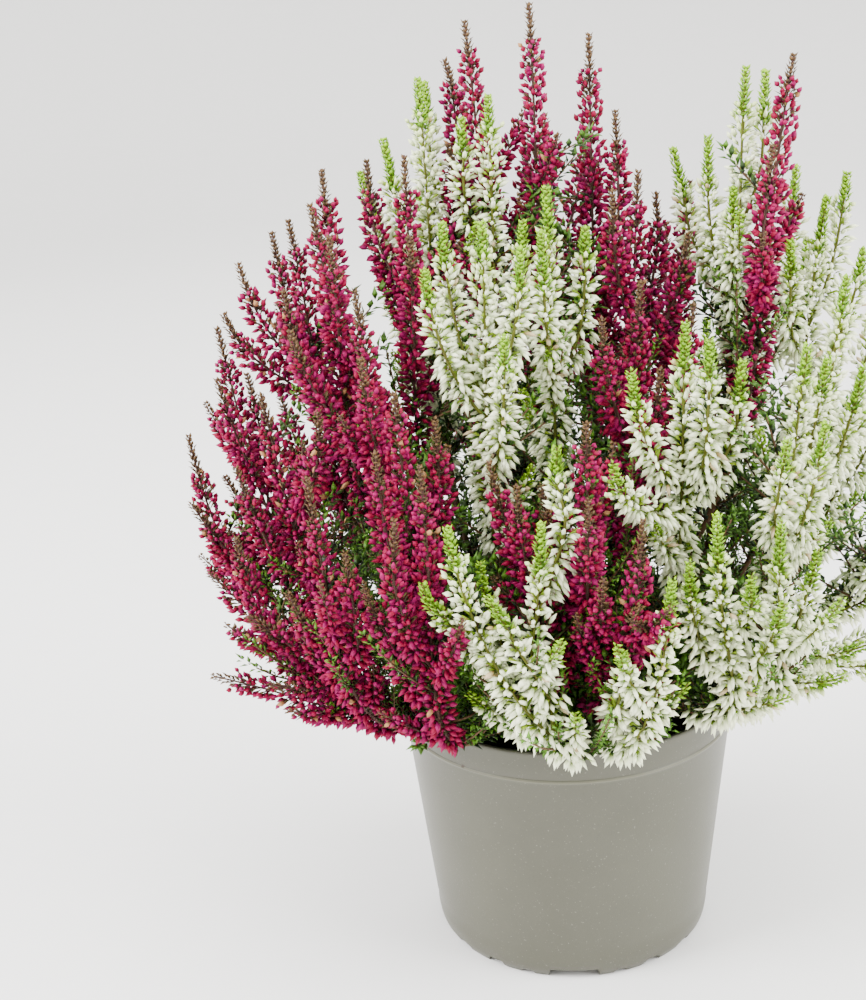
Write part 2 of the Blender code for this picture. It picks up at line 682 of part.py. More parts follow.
def add_block(mesh, turn, radius, width, height):
    """Add a notch cutter with sloping ends, across the foot at an angle round Z."""
    inner, outer = radius - 5.0, radius + 5.0
    foot, top = width / 2, max(width / 2 - 0.6, 0.5)
    corners = []
    for along in (inner, outer):
        for across, level in ((-foot, -1.0), (foot, -1.0), (top, height), (-top, height)):
            corners.append(mesh.verts.new((along * math.cos(turn) - across * math.sin(turn),
                                           along * math.sin(turn) + across * math.cos(turn), level)))
    a, b = corners[:4], corners[4:]
    mesh.faces.new(a[::-1])
    mesh.faces.new(b)
    for i in range(4):
        j = (i + 1) % 4
        mesh.faces.new((a[i], a[j], b[j], b[i]))


def add_cylinder(mesh, place, radius, height, sides):
    """Add a closed upright cylinder centred at a place."""
    rings = []
    for level in (-height / 2, height / 2):
        rings.append([mesh.verts.new((place[0] + radius * math.cos(2 * math.pi * i / sides),
                                      place[1] + radius * math.sin(2 * math.pi * i / sides),
                                      place[2] + level)) for i in range(sides)])
    low, high = rings
    mesh.faces.new(low[::-1])
    mesh.faces.new(high)
    for i in range(sides):
        j = (i + 1) % sides
        mesh.faces.new((low[i], low[j], high[j], high[i]))


def make_soil():
    """The potting soil fills the pot below the rim, slightly mounded, with a hole for each trunk."""
    top = wall_radius(SOIL_EDGE) - WALL - GAP - 0.9
    foot = wall_radius(12.0) - WALL - GAP - 0.9
    floor = FOOT_RADIUS - FOOT_THICKNESS - 2.2
    profile = (
        (0, FLOOR_ABOVE + GAP),
        (floor, FLOOR_ABOVE + GAP),
        (foot, 12.6),
        (top, SOIL_EDGE),
        (0.62 * top, SOIL_CROWN - 1.2),
        (0, SOIL_CROWN),
    )
    soil = finished_object("potting_soil", turned(profile, SOIL_SEGMENTS), "potting_soil")
    cutter = bmesh.new()
    for x, y in PLANTS.values():
        middle = SOIL_EDGE + 10 - (HOLE_DEPTH + 10) / 2
        add_cylinder(cutter, (x, y, middle), TRUNK_RADIUS + 0.8, HOLE_DEPTH + 10, 8)
    cut(soil, finished_object("hole_cutter", cutter, "potting_soil"))
    return soil


def make_plants():
    """All stems and sprays, eased clear of each other."""
    draw = np.random.default_rng(SEED)
    mains, flowering, sides, owners = place_axes()
    sprays, branches = [], []
    for index, (plant, _, _, _) in enumerate(SPRAYS):
        colour = plant.split("_")[0]
        total = lengths(mains[index])[-1]
        start = total - flowering[index]
        sprays.append((index, spike(mains[index], colour, start, NECK, draw)))
        for curve, owner in zip(sides, owners):
            if owner == index:
                sprays.append((index, spike(curve, colour, 0.0, SIDE_BARE, draw)))
        branches.append((plant, branch(mains[index], start - GAP, draw)))
    draw_in_crossings(sprays + branches)

    numbers = dict.fromkeys(SPRAY_COLOURS, 0)
    for index, (plant, _, _, _) in enumerate(SPRAYS):
        colour = plant.split("_")[0]
        numbers[colour] += 1
        name = f"{colour}_spray_{numbers[colour]:02d}"
        parts = [lattice_mesh(body) for owner, body in sprays if owner == index]
        joined(name, parts, colour)
    for plant in PLANTS:
        parts = [trunk(plant, draw)]
        parts += [lattice_mesh(body) for owner, body in branches if owner == plant]
        joined(plant + "_stems", parts, "stems")


def main():
    """Clear the scene and make every sub-part."""
    for thing in list(bpy.data.objects):
        bpy.data.objects.remove(thing)
    make_pot()
    make_soil()
    make_plants()


main()
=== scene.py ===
"""Potted heather: fine florets, leaves, stems, peat and pot over the solid model, with a stage.

Sizes are in millimetres unless a name says otherwise. A finished mesh is in metres. The stems are
laid out first, by the same rules as in the solid model, so each fine piece lies where its solid
is. Every repeated shape is a small closed body, copied in one array operation to all its seats.
"""

import functools
import math
from types import SimpleNamespace

import bpy
import numpy as np
from bpy.props import FloatProperty, FloatVectorProperty, IntProperty, PointerProperty
from mathutils import Matrix


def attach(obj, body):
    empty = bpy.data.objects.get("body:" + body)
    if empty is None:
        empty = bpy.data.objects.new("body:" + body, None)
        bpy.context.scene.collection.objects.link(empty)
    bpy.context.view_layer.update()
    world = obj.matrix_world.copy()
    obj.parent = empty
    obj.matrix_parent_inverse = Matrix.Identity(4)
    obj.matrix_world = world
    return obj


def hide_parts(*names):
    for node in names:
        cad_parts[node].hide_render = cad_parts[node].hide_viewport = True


bl_info = {
    "name": "Potted heather",
    "version": (1, 0, 0),
    "blender": (4, 5, 0),
    "location": "3D View > Sidebar > Heather",
    "description": "Builds the florets, leaves, stems, peat and pot of a potted heather plant",
    "category": "Object",
}

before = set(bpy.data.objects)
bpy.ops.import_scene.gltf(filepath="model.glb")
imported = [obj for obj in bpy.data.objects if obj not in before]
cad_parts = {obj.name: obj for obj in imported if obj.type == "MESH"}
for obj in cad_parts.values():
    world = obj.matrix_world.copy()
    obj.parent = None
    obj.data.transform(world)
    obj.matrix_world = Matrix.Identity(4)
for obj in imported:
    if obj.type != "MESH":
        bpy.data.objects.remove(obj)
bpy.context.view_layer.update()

MM = 0.001
SEED = 4711
FULL_TURN = 2 * math.pi
GOLDEN = math.pi * (3.0 - math.sqrt(5.0))
DOWN = np.array([0.0, 0.0, -1.0])

# Pot and peat, as in the solid model
POT_HEIGHT, RIM_RADIUS, WALL = 94.0, 60.0, 1.7
BASE_HEIGHT, BASE_RADIUS = 12.0, 50.6
FOOT_RADIUS, FOOT_THICKNESS = 47.8, 2.0
FLOOR_BELOW, FLOOR_ABOVE, FLOOR_FLAT = 4.6, 6.4, 20.0
BEAD = POT_HEIGHT - 11.3
DRAIN_HOLES, DRAIN_RADIUS, DRAIN_RING = 4, 4.0, 33.0
SOIL_FOOT, SOIL_EDGE, SOIL_CROWN = 12.6, 83.0, 87.0
MOUTH = 58.0
GAP = 0.3
# Notches in a quarter of the foot: middle in degrees, width and height
FOOT_NOTCHES = ((0.0, 17.0, 3.4), (20.0, 3.6, 1.5), (35.0, 6.0, 2.8), (55.0, 6.0, 2.8),
                (70.0, 3.6, 1.5))
# The small mark of peat on the bead, in metres
PEAT_MARK = (-0.0358, -0.0466, 0.0834)
# Waves in the top of the peat: length and height
PEAT_WAVES = ((38, 0.9), (21, 0.7), (12, 0.55), (7, 0.45), (4, 0.35), (2.4, 0.25))

# Plants: name and place of the trunk
CROWN_HEIGHT, CROWN_REACH = 95.0, 1.2
PLANTS = {
    "crimson_left": (-32.0, -6.0),
    "crimson_back": (8.0, 30.0),
    "crimson_front": (5.0, -8.0),
    "white_right": (33.0, 4.0),
    "white_front": (-10.0, -38.0),
    "white_back": (-22.0, 25.0),
}
# The trunk with its burl: height and radius
TRUNK = ((SOIL_EDGE - 21, 1.9), (SOIL_EDGE, 2.4), (SOIL_EDGE + 3, 2.6), (88.5, 3.9), (91.5, 5.2),
         (94.5, 4.8), (97.5, 3.2))

# Sprays of each plant, in the order of their nodes: tip of the main spike, place on its way if
# it has one, and tips of the side spikes
SPRAY_TABLE = (
    ("crimson_back", (
        ((-6, 2, 330), (), (-9, 16, 286)),
        ((-27, 5, 325), (), (-36, 13, 311)),
        ((13, 8, 319), (), (21, 5, 295)),
        ((-2, 32, 292), (), (12, 38, 284), (-12, 44, 262)),
        ((28, -4, 276), (), (36, 10, 267), (19, -14, 272), (44, -6, 256)),
        ((47, 26, 268), (), (40, 44, 250)),
        ((20, 72, 240), (), (6, 82, 214), (34, 62, 232)),
        ((30, 96, 180), (22, 62, 100), (46, 94, 160), (14, 98, 158), (34, 80, 194)),
        ((-38, 84, 226), (), (-52, 74, 205), (-24, 84, 196)),
    )),
    ("crimson_front", (
        ((77, -6, 311), (), (70, -14, 284)),
        ((-13, -82, 196), (0, -50, 118), (-22, -70, 200), (-2, -78, 184)),
        ((8, -80, 214), (), (8, -92, 194), (-6, -66, 190)),
        ((24, -90, 187), (9, -57, 111), (28, -97, 162), (12, -94, 170)),
        ((27, -32, 246), (), (14, -46, 238), (32, -48, 222), (44, -26, 236)),
    )),
    ("crimson_left", (
        ((-48, -6, 285), (), (-36, 6, 286), (-61, 10, 281), (-46, -24, 262)),
        ((-79, -14, 271), (), (-77, 6, 280), (-71, -32, 264), (-88, -26, 246)),
        ((-90, 8, 263), (), (-98, 22, 256), (-107, 2, 250), (-111, -12, 236)),
        ((-117, 6, 226), (), (-115, -14, 214), (-112, 26, 205)),
        ((-62, -50, 250), (), (-84, -44, 237), (-60, -62, 232)),
        ((-129, -2, 190), (-66, 2, 102), (-126, -22, 172), (-122, 16, 170)),
        ((-96, -38, 214), (), (-75, -58, 214), (-106, -40, 190)),
        ((-106, -50, 170), (-60, -30, 100), (-102, -64, 148), (-120, -34, 152)),
        ((-78, -72, 196), (-49, -48, 98), (-86, -76, 160), (-66, -84, 176)),
        ((-116, -60, 125), (-54, -40, 98), (-96, -66, 124)),
        ((-50, -68, 222), (), (-56, -76, 206), (-38, -66, 212)),
        ((-42, -84, 204), (-31, -60, 99), (-58, -88, 168), (-50, -88, 188)),
        ((-92, 44, 226), (), (-104, 42, 196), (-78, 58, 214)),
        ((-110, 48, 170), (-58, 30, 102), (-118, 32, 150), (-96, 66, 156)),
        ((-70, 84, 178), (-42, 50, 101), (-58, 92, 154), (-86, 72, 160)),
    )),
    ("white_back", (
        ((-43, 2, 308), (), (-38, 12, 306), (-56, 6, 289), (-66, 24, 276)),
        ((-20, -5, 303), (), (-27, 2, 296), (-10, -16, 264)),
        ((-4, 62, 264), (), (-26, 56, 262), (-10, 76, 232)),
        ((-48, 44, 266), (), (-62, 50, 246), (-50, 62, 238)),
        ((-16, 98, 178), (-20, 64, 100), (2, 98, 152), (-36, 94, 156), (-12, 82, 192)),
    )),
    ("white_front", (
        ((-2, -26, 276), (), (-4, -40, 264), (10, -24, 262)),
        ((-22, -44, 268), (), (-35, -34, 267), (-40, -50, 256), (-10, -52, 262), (-16, -60, 236)),
        ((-34, -93, 187), (5, -68, 99), (-24, -97, 166)),
        ((-7, -88, 186), (-12, -60, 104), (4, -78, 206), (-25, -84, 172), (-44, -84, 168)),
    )),
    ("white_right", (
        ((63, 2, 307), (), (70, 9, 305), (51, 4, 285), (58, -10, 271), (40, 12, 281)),
        ((90, 4, 264), (), (80, 6, 274), (98, 14, 270), (101, -4, 248), (74, -12, 254)),
        ((92, -28, 244), (), (96, -40, 218), (84, -44, 222)),
        ((39, -57, 238), (), (46, -62, 234), (56, -60, 226), (22, -68, 226), (14, -82, 202)),
        ((76, -56, 229), (), (81, -64, 207), (68, -74, 205)),
        ((46, -86, 186), (44, -52, 104), (56, -90, 168), (38, -88, 172)),
        ((66, -78, 181), (54, -42, 102), (78, -74, 170), (66, -88, 158)),
    )),
    ("white_front", (
        ((32, -97, 170), (15, -67, 101), (20, -96, 150)),
    )),
    ("white_right", (
        ((112, -38, 114), (60, -20, 104), (98, -60, 132), (88, -68, 124)),
        ((129, -8, 186), (64, 2, 104), (122, -26, 166), (128, 14, 160)),
        ((112, 30, 224), (), (120, 18, 204), (102, 46, 196)),
        ((76, 42, 248), (), (88, 34, 244), (62, 56, 236)),
        ((104, 60, 172), (54, 34, 102), (116, 44, 154), (90, 76, 158)),
        ((58, 84, 206), (38, 52, 104), (76, 72, 200), (64, 94, 158)),
    )),
)
SPRAYS = [(plant, tip, way, sides) for plant, rows in SPRAY_TABLE for tip, way, *sides in rows]

# Least and most length of a twig and of each kind of leafy shoot
TWIG_LENGTH, SHOOT_LENGTH, TALL_LENGTH = (16, 28), (14, 27), (32, 55)
FILLING_LENGTH, LOW_LENGTH, SPRIG_LENGTH = (16, 30), (26, 46), (7, 12)

# How the stems are laid out, as in the solid model
SPIKE_SHARE, SPIKE_LEAST, SPIKE_LONGEST = 0.30, 58.0, 126.0
BRANCH_LEAST = 18.0
SIDE_REACH, SIDE_BARE = 54.0, 8.0
NECK = 4.0
WAY_RISE = 0.28
MAIN_ROOM, SIDE_ROOM, BRANCH_ROOM = 5.6, 4.6, 2.1
MAIN_POINTS, SIDE_POINTS = 26, 12
EASE_ROUNDS, EASE_STEP = 60, 1.5

# The camera that was fitted to the pot's rim, bead and foot in the photograph (metres, degrees)
CAMERA_BACK, CAMERA_HEIGHT, CAMERA_LENS = 0.576, 0.362, 62.6
CAMERA_ANGLES = {"pitch": 18.97, "roll": 3.01, "yaw": -4.46}


def unit(vectors):
    """Each vector divided by its length."""
    length = np.linalg.norm(vectors, axis=-1, keepdims=True)
    return vectors / np.maximum(length, 1e-9)


def around(angle, first, second):
    """cos angle first + sin angle second, for whole arrays of angles and directions."""
    return np.cos(angle)[..., None] * first + np.sin(angle)[..., None] * second


def rising(heading, least):
    """Headings whose upward part is at least the given number."""
    heading[:, 2] = np.maximum(heading[:, 2], least)
    return unit(heading)


def lengths(curve):
    """Running sum of the distances between neighbouring points."""
    return np.concatenate([[0], np.cumsum(np.linalg.norm(np.diff(curve, axis=0), axis=1))])


def read_at(distance, run, values):
    """Values at each distance, by interpolation between the points of a curve."""
    return np.stack([np.interp(distance, run, values[:, axis]) for axis in range(3)], -1)


def spread(curve, count):
    """The same polyline read at evenly spaced distances."""
    run = lengths(curve)
    return read_at(np.linspace(0, run[-1], count), run, curve)


def cubic(start, handle_a, handle_b, end, count):
    """(1-t)^3 start + 3(1-t)^2 t a + 3(1-t) t^2 b + t^3 end, evenly spread along its length."""
    t = np.linspace(0, 1, 8 * count)[:, None]
    curve = ((1 - t) ** 3 * start + 3 * (1 - t) ** 2 * t * handle_a
             + 3 * (1 - t) * t ** 2 * handle_b + t ** 3 * end)
    return spread(curve, count)


def main_axis(plant, tip, way):
    """A cubic that leaves the crown low, towards the tip or the place on its way, and turns up."""
    place, tip = np.array(PLANTS[plant]), np.array(tip, float)
    if way:
        return bowed_axis(place, np.array(way, float), tip)
    outward = unit(tip[:2] - place)
    crown = np.array([*(place + CROWN_REACH * outward), CROWN_HEIGHT])
    span = tip - crown
    far = np.linalg.norm(span)
    chord = math.atan2(span[2], np.linalg.norm(span[:2]))
    bend = math.radians(7 + 62 * math.cos(chord))
    leave = max(chord - bend, min(chord, math.radians(8)))
    arrive = min(chord + bend, max(chord + math.radians(4), math.radians(80)))
    headings = [np.array([*(outward * math.cos(angle)), math.sin(angle)])
                for angle in (leave, arrive)]
    return cubic(crown, crown + (0.4 + 0.2 * math.cos(chord)) * far * headings[0],
                 tip - 0.4 * far * headings[1], tip, MAIN_POINTS)


def bowed_axis(place, way, tip):
    """Two cubics that meet at the place on the way and share their heading there."""
    outward = unit(way - [*place, way[2]])
    crown = np.array([*place, CROWN_HEIGHT]) + CROWN_REACH * outward
    heading = unit(unit(way * [1, 1, 0]) + np.array([0, 0, WAY_RISE]))
    near, far = np.linalg.norm(way - crown), np.linalg.norm(tip - way)
    arrive = unit(tip - way)
    if tip[2] - way[2] > 0.5 * far:
        arrive = unit(0.12 * unit((tip - way) * [1, 1, 0]) + np.array([0, 0, 1.0]))
    first = cubic(crown, crown + 0.4 * near * outward, way - 0.3 * near * heading, way,
                  MAIN_POINTS)
    second = cubic(way, way + 0.34 * far * heading, tip - 0.6 * far * arrive, tip, MAIN_POINTS)
    return spread(np.concatenate([first, second[1:]]), MAIN_POINTS)


def side_axis(stem, flowering, tip):
    """A cubic that forks off the main curve about SIDE_REACH below its own tip."""
    tip = np.array(tip, float)
    away = np.linalg.norm(stem - tip, axis=1)
    run = lengths(stem)
    first = int(np.searchsorted(run, run[-1] - flowering + NECK + 5.0))
    fork = first + int(np.argmin(np.abs(away[first:] - SIDE_REACH)))
    start = stem[fork]
    along = unit(stem[min(fork + 1, len(stem) - 1)] - stem[fork - 1])
    span = tip - start
    aside = unit(span - np.dot(span, along) * along)
    reach = 0.36 * np.linalg.norm(span)
    leave = unit(along + 0.85 * aside)
    arrive = unit(0.75 * along + 0.25 * unit(span) + np.array([0, 0, 0.25]))
    return cubic(start, start + reach * leave, tip - reach * arrive, tip, SIDE_POINTS)


def ease_apart(paths, room, freedom, fixed, fixed_room):
    """Points of different curves nearer than the sum of their rooms push each other away.

    Each round's pushes are smoothed along the curves by (1, 2, 1) / 4, three times, and capped.
    """
    curves, count = paths.shape[:2]
    owner = np.concatenate([np.repeat(np.arange(curves), count), np.full(len(fixed), -1)])
    room_all = np.concatenate([room.ravel(), fixed_room])
    need = room_all[:, None] + room_all[None, :]
    for _ in range(EASE_ROUNDS):
        points = np.concatenate([paths.reshape(-1, 3), fixed])
        square = (points ** 2).sum(1)
        apart = square[:, None] + square[None, :] - 2 * points @ points.T
        close = (apart < need ** 2) & (owner[:, None] != owner[None, :])
        one, other = np.nonzero(np.triu(close, 1))
        away = points[one] - points[other]
        gap = np.maximum(np.linalg.norm(away, axis=1, keepdims=True), 1e-6)
        push = 0.5 * (need[one, other][:, None] - gap) * away / gap
        shift = np.zeros_like(points)
        np.add.at(shift, one, push)
        np.add.at(shift, other, -push)
        shift = shift[:curves * count].reshape(paths.shape) + clear_of_pot(paths, room)
        for _ in range(3):
            smooth = shift.copy()
            smooth[:, 1:-1] = (shift[:, :-2] + 2 * shift[:, 1:-1] + shift[:, 2:]) / 4
            shift = smooth
        step = np.clip(np.linalg.norm(shift, axis=2, keepdims=True), 1e-6, None)
        paths = paths + shift / step * np.minimum(step, EASE_STEP) * freedom[..., None]
    return paths


def clear_of_pot(paths, room):
    """A push up off the rim, or out from the wall, for points that are too near the pot."""
    radius, height = np.linalg.norm(paths[..., :2], axis=2), paths[..., 2]
    keep = np.minimum(room, 3.2) + 0.8
    over = (radius > RIM_RADIUS - 10) & (radius < RIM_RADIUS + 2)
    beside = (radius >= RIM_RADIUS + 2) & (height < POT_HEIGHT + keep)
    out = np.where(beside, np.maximum(RIM_RADIUS + keep - radius, 0), 0)
    shift = np.zeros_like(paths)
    shift[..., 2] = np.where(over, np.maximum(POT_HEIGHT + keep - height, 0), 0)
    shift[..., :2] = paths[..., :2] / np.maximum(radius, 1e-6)[..., None] * out[..., None]
    return shift


@functools.lru_cache(maxsize=1)
def place_axes():
    """Curves of all sprays: main curves, their flowering lengths, side curves and their owners."""
    mains = np.stack([main_axis(plant, tip, way) for plant, tip, way, _ in SPRAYS])
    totals = np.array([lengths(curve)[-1] for curve in mains])
    flowering = np.minimum(SPIKE_LEAST + SPIKE_SHARE * totals, totals - BRANCH_LEAST)
    flowering = np.minimum(flowering, SPIKE_LONGEST)
    run = np.linspace(0, 1, MAIN_POINTS)[None, :] * totals[:, None]
    room = np.where(run > (totals - flowering)[:, None] - 4, MAIN_ROOM, BRANCH_ROOM)
    room[:, :2] = 0.0
    mains = ease_apart(mains, room, np.clip((run - 4) / 30, 0, 1), np.zeros((0, 3)), np.zeros(0))
    mains = np.stack([spread(curve, MAIN_POINTS) for curve in mains])

    owners = [index for index, spray in enumerate(SPRAYS) for _ in spray[3]]
    tips = [tip for spray in SPRAYS for tip in spray[3]]
    sides = np.stack([side_axis(mains[owner], flowering[owner], tip)
                      for owner, tip in zip(owners, tips)])
    along = np.linspace(0, 1, SIDE_POINTS)[None, :].repeat(len(sides), 0)
    sides = ease_apart(sides, np.where(along > 0.34, SIDE_ROOM, 0.0),
                       np.clip((along - 0.05) * 1.8, 0, 1), mains.reshape(-1, 3),
                       np.where(room.ravel() > BRANCH_ROOM, SIDE_ROOM, room.ravel()))
    sides = np.stack([spread(curve, SIDE_POINTS) for curve in sides])
    return mains, flowering, sides, owners


class Path:
    """A smooth curve with a direction and two side directions at any distance along it."""

    def __init__(self, curve):
        self.run = lengths(curve)
        self.total = self.run[-1]
        self.curve = curve
        self.tangent = unit(np.gradient(curve, axis=0))
        side = np.cross(self.tangent[0], [0.3, 0.9, 0.1])
        sides = []
        for tangent in self.tangent:
            side = unit(side - np.dot(side, tangent) * tangent)
            sides.append(side)
        self.side = np.array(sides)

    def at(self, distance):
        """Seats: points, directions and the two side directions, all by interpolation."""
        centre, tangent, side = (read_at(distance, self.run, values)
                                 for values in (self.curve, self.tangent, self.side))
        tangent = unit(tangent)
        side = unit(side - (side * tangent).sum(-1, keepdims=True) * tangent)
        return centre, tangent, side, np.cross(tangent, side)


def ring_angles(sides):
    """Evenly spaced angles round a ring."""
    return np.arange(sides) * FULL_TURN / sides


def fan(first, sides, hub):
    """Triangles from each side of a ring of points, which starts at first, to a hub."""
    here = np.arange(sides)
    return np.stack([first + here, first + (here + 1) % sides, np.full(sides, hub)], 1)


def grid_faces(rows, columns):
    """Triangles of a grid whose columns close round, rows x columns points."""
    row, column = np.meshgrid(np.arange(rows - 1), np.arange(columns), indexing="ij")
    a, b = row * columns + column, row * columns + (column + 1) % columns
    c, d = a + columns, b + columns
    return np.concatenate([np.stack(corners, -1).reshape(-1, 3)
                           for corners in ((a, b, d), (a, d, c))])


def closed_grid(rows, columns):
    """Triangles of such a grid with a hub at each end: the two points that follow the grid's."""
    last, count = (rows - 1) * columns, rows * columns
    return np.concatenate([grid_faces(rows, columns), fan(0, columns, count)[:, ::-1],
                           fan(last, columns, count + 1)])


def spindle(sides, stations, widths):
    """A closed pointed body one long: ring k has radius widths[k] at height stations[k].

    Point (k, i) = (w_k cos a_i, w_k sin a_i, s_k), with a point at heights 0 and 1 to close it.
    """
    angle = ring_angles(sides) + (np.arange(len(stations)) % 2)[:, None] * math.pi / sides
    widths = np.array(widths)[:, None]
    rings = np.stack([widths * np.cos(angle), widths * np.sin(angle),
                      np.array(stations)[:, None].repeat(sides, 1)], -1).reshape(-1, 3)
    points = np.concatenate([[[0, 0, 0]], rings, [[0, 0, 1]]])
    here = np.arange(sides)
    after = (here + 1) % sides
    faces = [fan(1, sides, 0)[:, ::-1]]
    for level in range(len(stations) - 1):
        low, high = 1 + level * sides, 1 + (level + 1) * sides
        across = (low + after, high + here) if level % 2 == 0 else (high + after, low + here)
        faces.append(np.stack([low + here, across[0], high + here], 1))
        faces.append(np.stack([across[1], low + after, high + after], 1))
    faces.append(fan(1 + (len(stations) - 1) * sides, sides, len(points) - 1))
    return points, np.concatenate(faces)


def keel(widest):
    """A closed leaf one long of four triangles.

    Its foot and tip lie on a keel half a width above its two edges, which are widest apart at
    the given height.
    """
    points = np.array([[0, 0.5, 0], [1, -0.5, widest], [-1, -0.5, widest], [0, 0.5, 1]])
    return points, np.array([[0, 1, 2], [3, 2, 1], [0, 3, 1], [0, 2, 3]])


class Bunch:
    """Closed shapes gathered into one mesh, with a material slot and a dye for each.

    The dye is an attribute of three numbers at each point: tone, which is one random number a
    copy, along, which runs from its base to its tip, and age, which runs up the spike.
    """

    def __init__(self):
        self.points, self.faces, self.slots, self.dyes = [], [], [], []
        self.count = 0

    def add(self, points, faces, slot, tone, along, age):
        """Take in the points, faces and dye of one shape or of many copies of one."""
        self.points.append(points)
        self.faces.append(faces + self.count)
        self.slots.append(np.full(len(faces), slot))
        self.dyes.append(np.stack(np.broadcast_arrays(tone, along, age), -1).reshape(-1, 3))
        self.count += len(points)

    def copies(self, shape, slot, base, heading, length, width, depth, tone, age,
               sag=0.0, roll=0.0):
        """Copy a shape to every base.

        Point = base + x width X + y depth Y + z length H + z^2 sag down, where H is the heading
        and X and Y are across it, turned about it by the roll.
        """
        points, faces = shape
        count = len(base)
        level = unit(np.cross(DOWN + np.array([0.013, 0.021, 0.0]), heading))
        first = around(np.broadcast_to(roll, count), level, np.cross(heading, level))
        second = np.cross(heading, first)
        size = [np.broadcast_to(value, count)[:, None, None]
                for value in (width, depth, length, sag)]
        x, y, z = points[None, :, 0:1], points[None, :, 1:2], points[None, :, 2:3]
        placed = (base[:, None] + x * size[0] * first[:, None] + y * size[1] * second[:, None]
                  + z * size[2] * heading[:, None] + z ** 2 * size[3] * DOWN)
        every = faces[None] + np.arange(count)[:, None, None] * len(points)
        tone, age = (np.broadcast_to(value, count)[:, None] for value in (tone, age))
        self.add(placed.reshape(-1, 3), every.reshape(-1, 3), slot, tone, points[:, 2], age)

    def tube(self, slot, seats, radii, sides, tone, age):
        """A closed tube: ring k = centre_k + r_k (cos a side_k + sin a across_k)."""
        centre, _, side, across = seats
        ring = around(ring_angles(sides), side[:, None], across[:, None])
        ring = centre[:, None] + ring * np.asarray(radii)[:, None, None]
        points = np.concatenate([ring.reshape(-1, 3), centre[:1], centre[-1:]])
        along = np.concatenate([np.linspace(0, 1, len(centre)).repeat(sides), [0, 1]])
        self.add(points, closed_grid(len(centre), sides), slot, tone, along, age)

    def finish(self, name, materials, node, record_slot):
        """Make the object in metres, in place of a node of the solid model."""
        faces = np.concatenate(self.faces)
        thing = mesh_object(name, np.concatenate(self.points) * MM, faces, materials)
        slots = np.concatenate(self.slots).astype(np.int32)
        thing.data.polygons.foreach_set("material_index", slots)
        dye = thing.data.attributes.new("dye", "FLOAT_COLOR", "POINT")
        colours = np.concatenate([np.concatenate(self.dyes), np.ones((self.count, 1))], 1)
        dye.data.foreach_set("color", colours.ravel().astype(np.float32))
        thing.data.polygons.foreach_set("use_smooth", np.ones(len(faces), bool))
        thing.data.update()
        settle(thing, node)


def mesh_object(name, points, faces, materials):
    """A mesh object from whole arrays of points and triangles, put into the scene."""
    data = bpy.data.meshes.new(name)
    data.vertices.add(len(points))
    data.vertices.foreach_set("co", points.ravel().astype(np.float32))
    data.loops.add(faces.size)
    data.loops.foreach_set("vertex_index", faces.ravel().astype(np.int32))
    data.polygons.add(len(faces))
    data.polygons.foreach_set("loop_start", np.arange(0, faces.size, 3, dtype=np.int32))
    for material in materials:
        data.materials.append(material)
    data.update(calc_edges=True)
    thing = bpy.data.objects.new(name, data)
    bpy.context.scene.collection.objects.link(thing)
    return thing


def settle(thing, node):
    """Let a piece ride on the body and stand for a node of the model."""
    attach(thing, "root")
    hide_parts(node)


def sums(operation, swapped=False):
    """A method that adds one Math node, with its two values swapped if asked."""
    def method(self, other):
        first, second = (other, self) if swapped else (self, other)
        return self.look.add("ShaderNodeMath", {"operation": operation}, {0: first, 1: second})
    return method


class Wire:
    """A value in a material; sums on it add Math nodes."""

    def __init__(self, look, socket):
        self.look, self.socket = look, socket

    __add__, __radd__ = sums("ADD"), sums("ADD", swapped=True)
    __sub__, __rsub__ = sums("SUBTRACT"), sums("SUBTRACT", swapped=True)
    __mul__, __rmul__ = sums("MULTIPLY"), sums("MULTIPLY", swapped=True)
    __gt__ = sums("GREATER_THAN")

    def between(self, low, high):
        """0 below low, 1 above high, and smooth between."""
        return self.look.add("ShaderNodeMapRange", {"interpolation_type": "SMOOTHSTEP"},
                             {"Value": self, "From Min": low, "From Max": high})


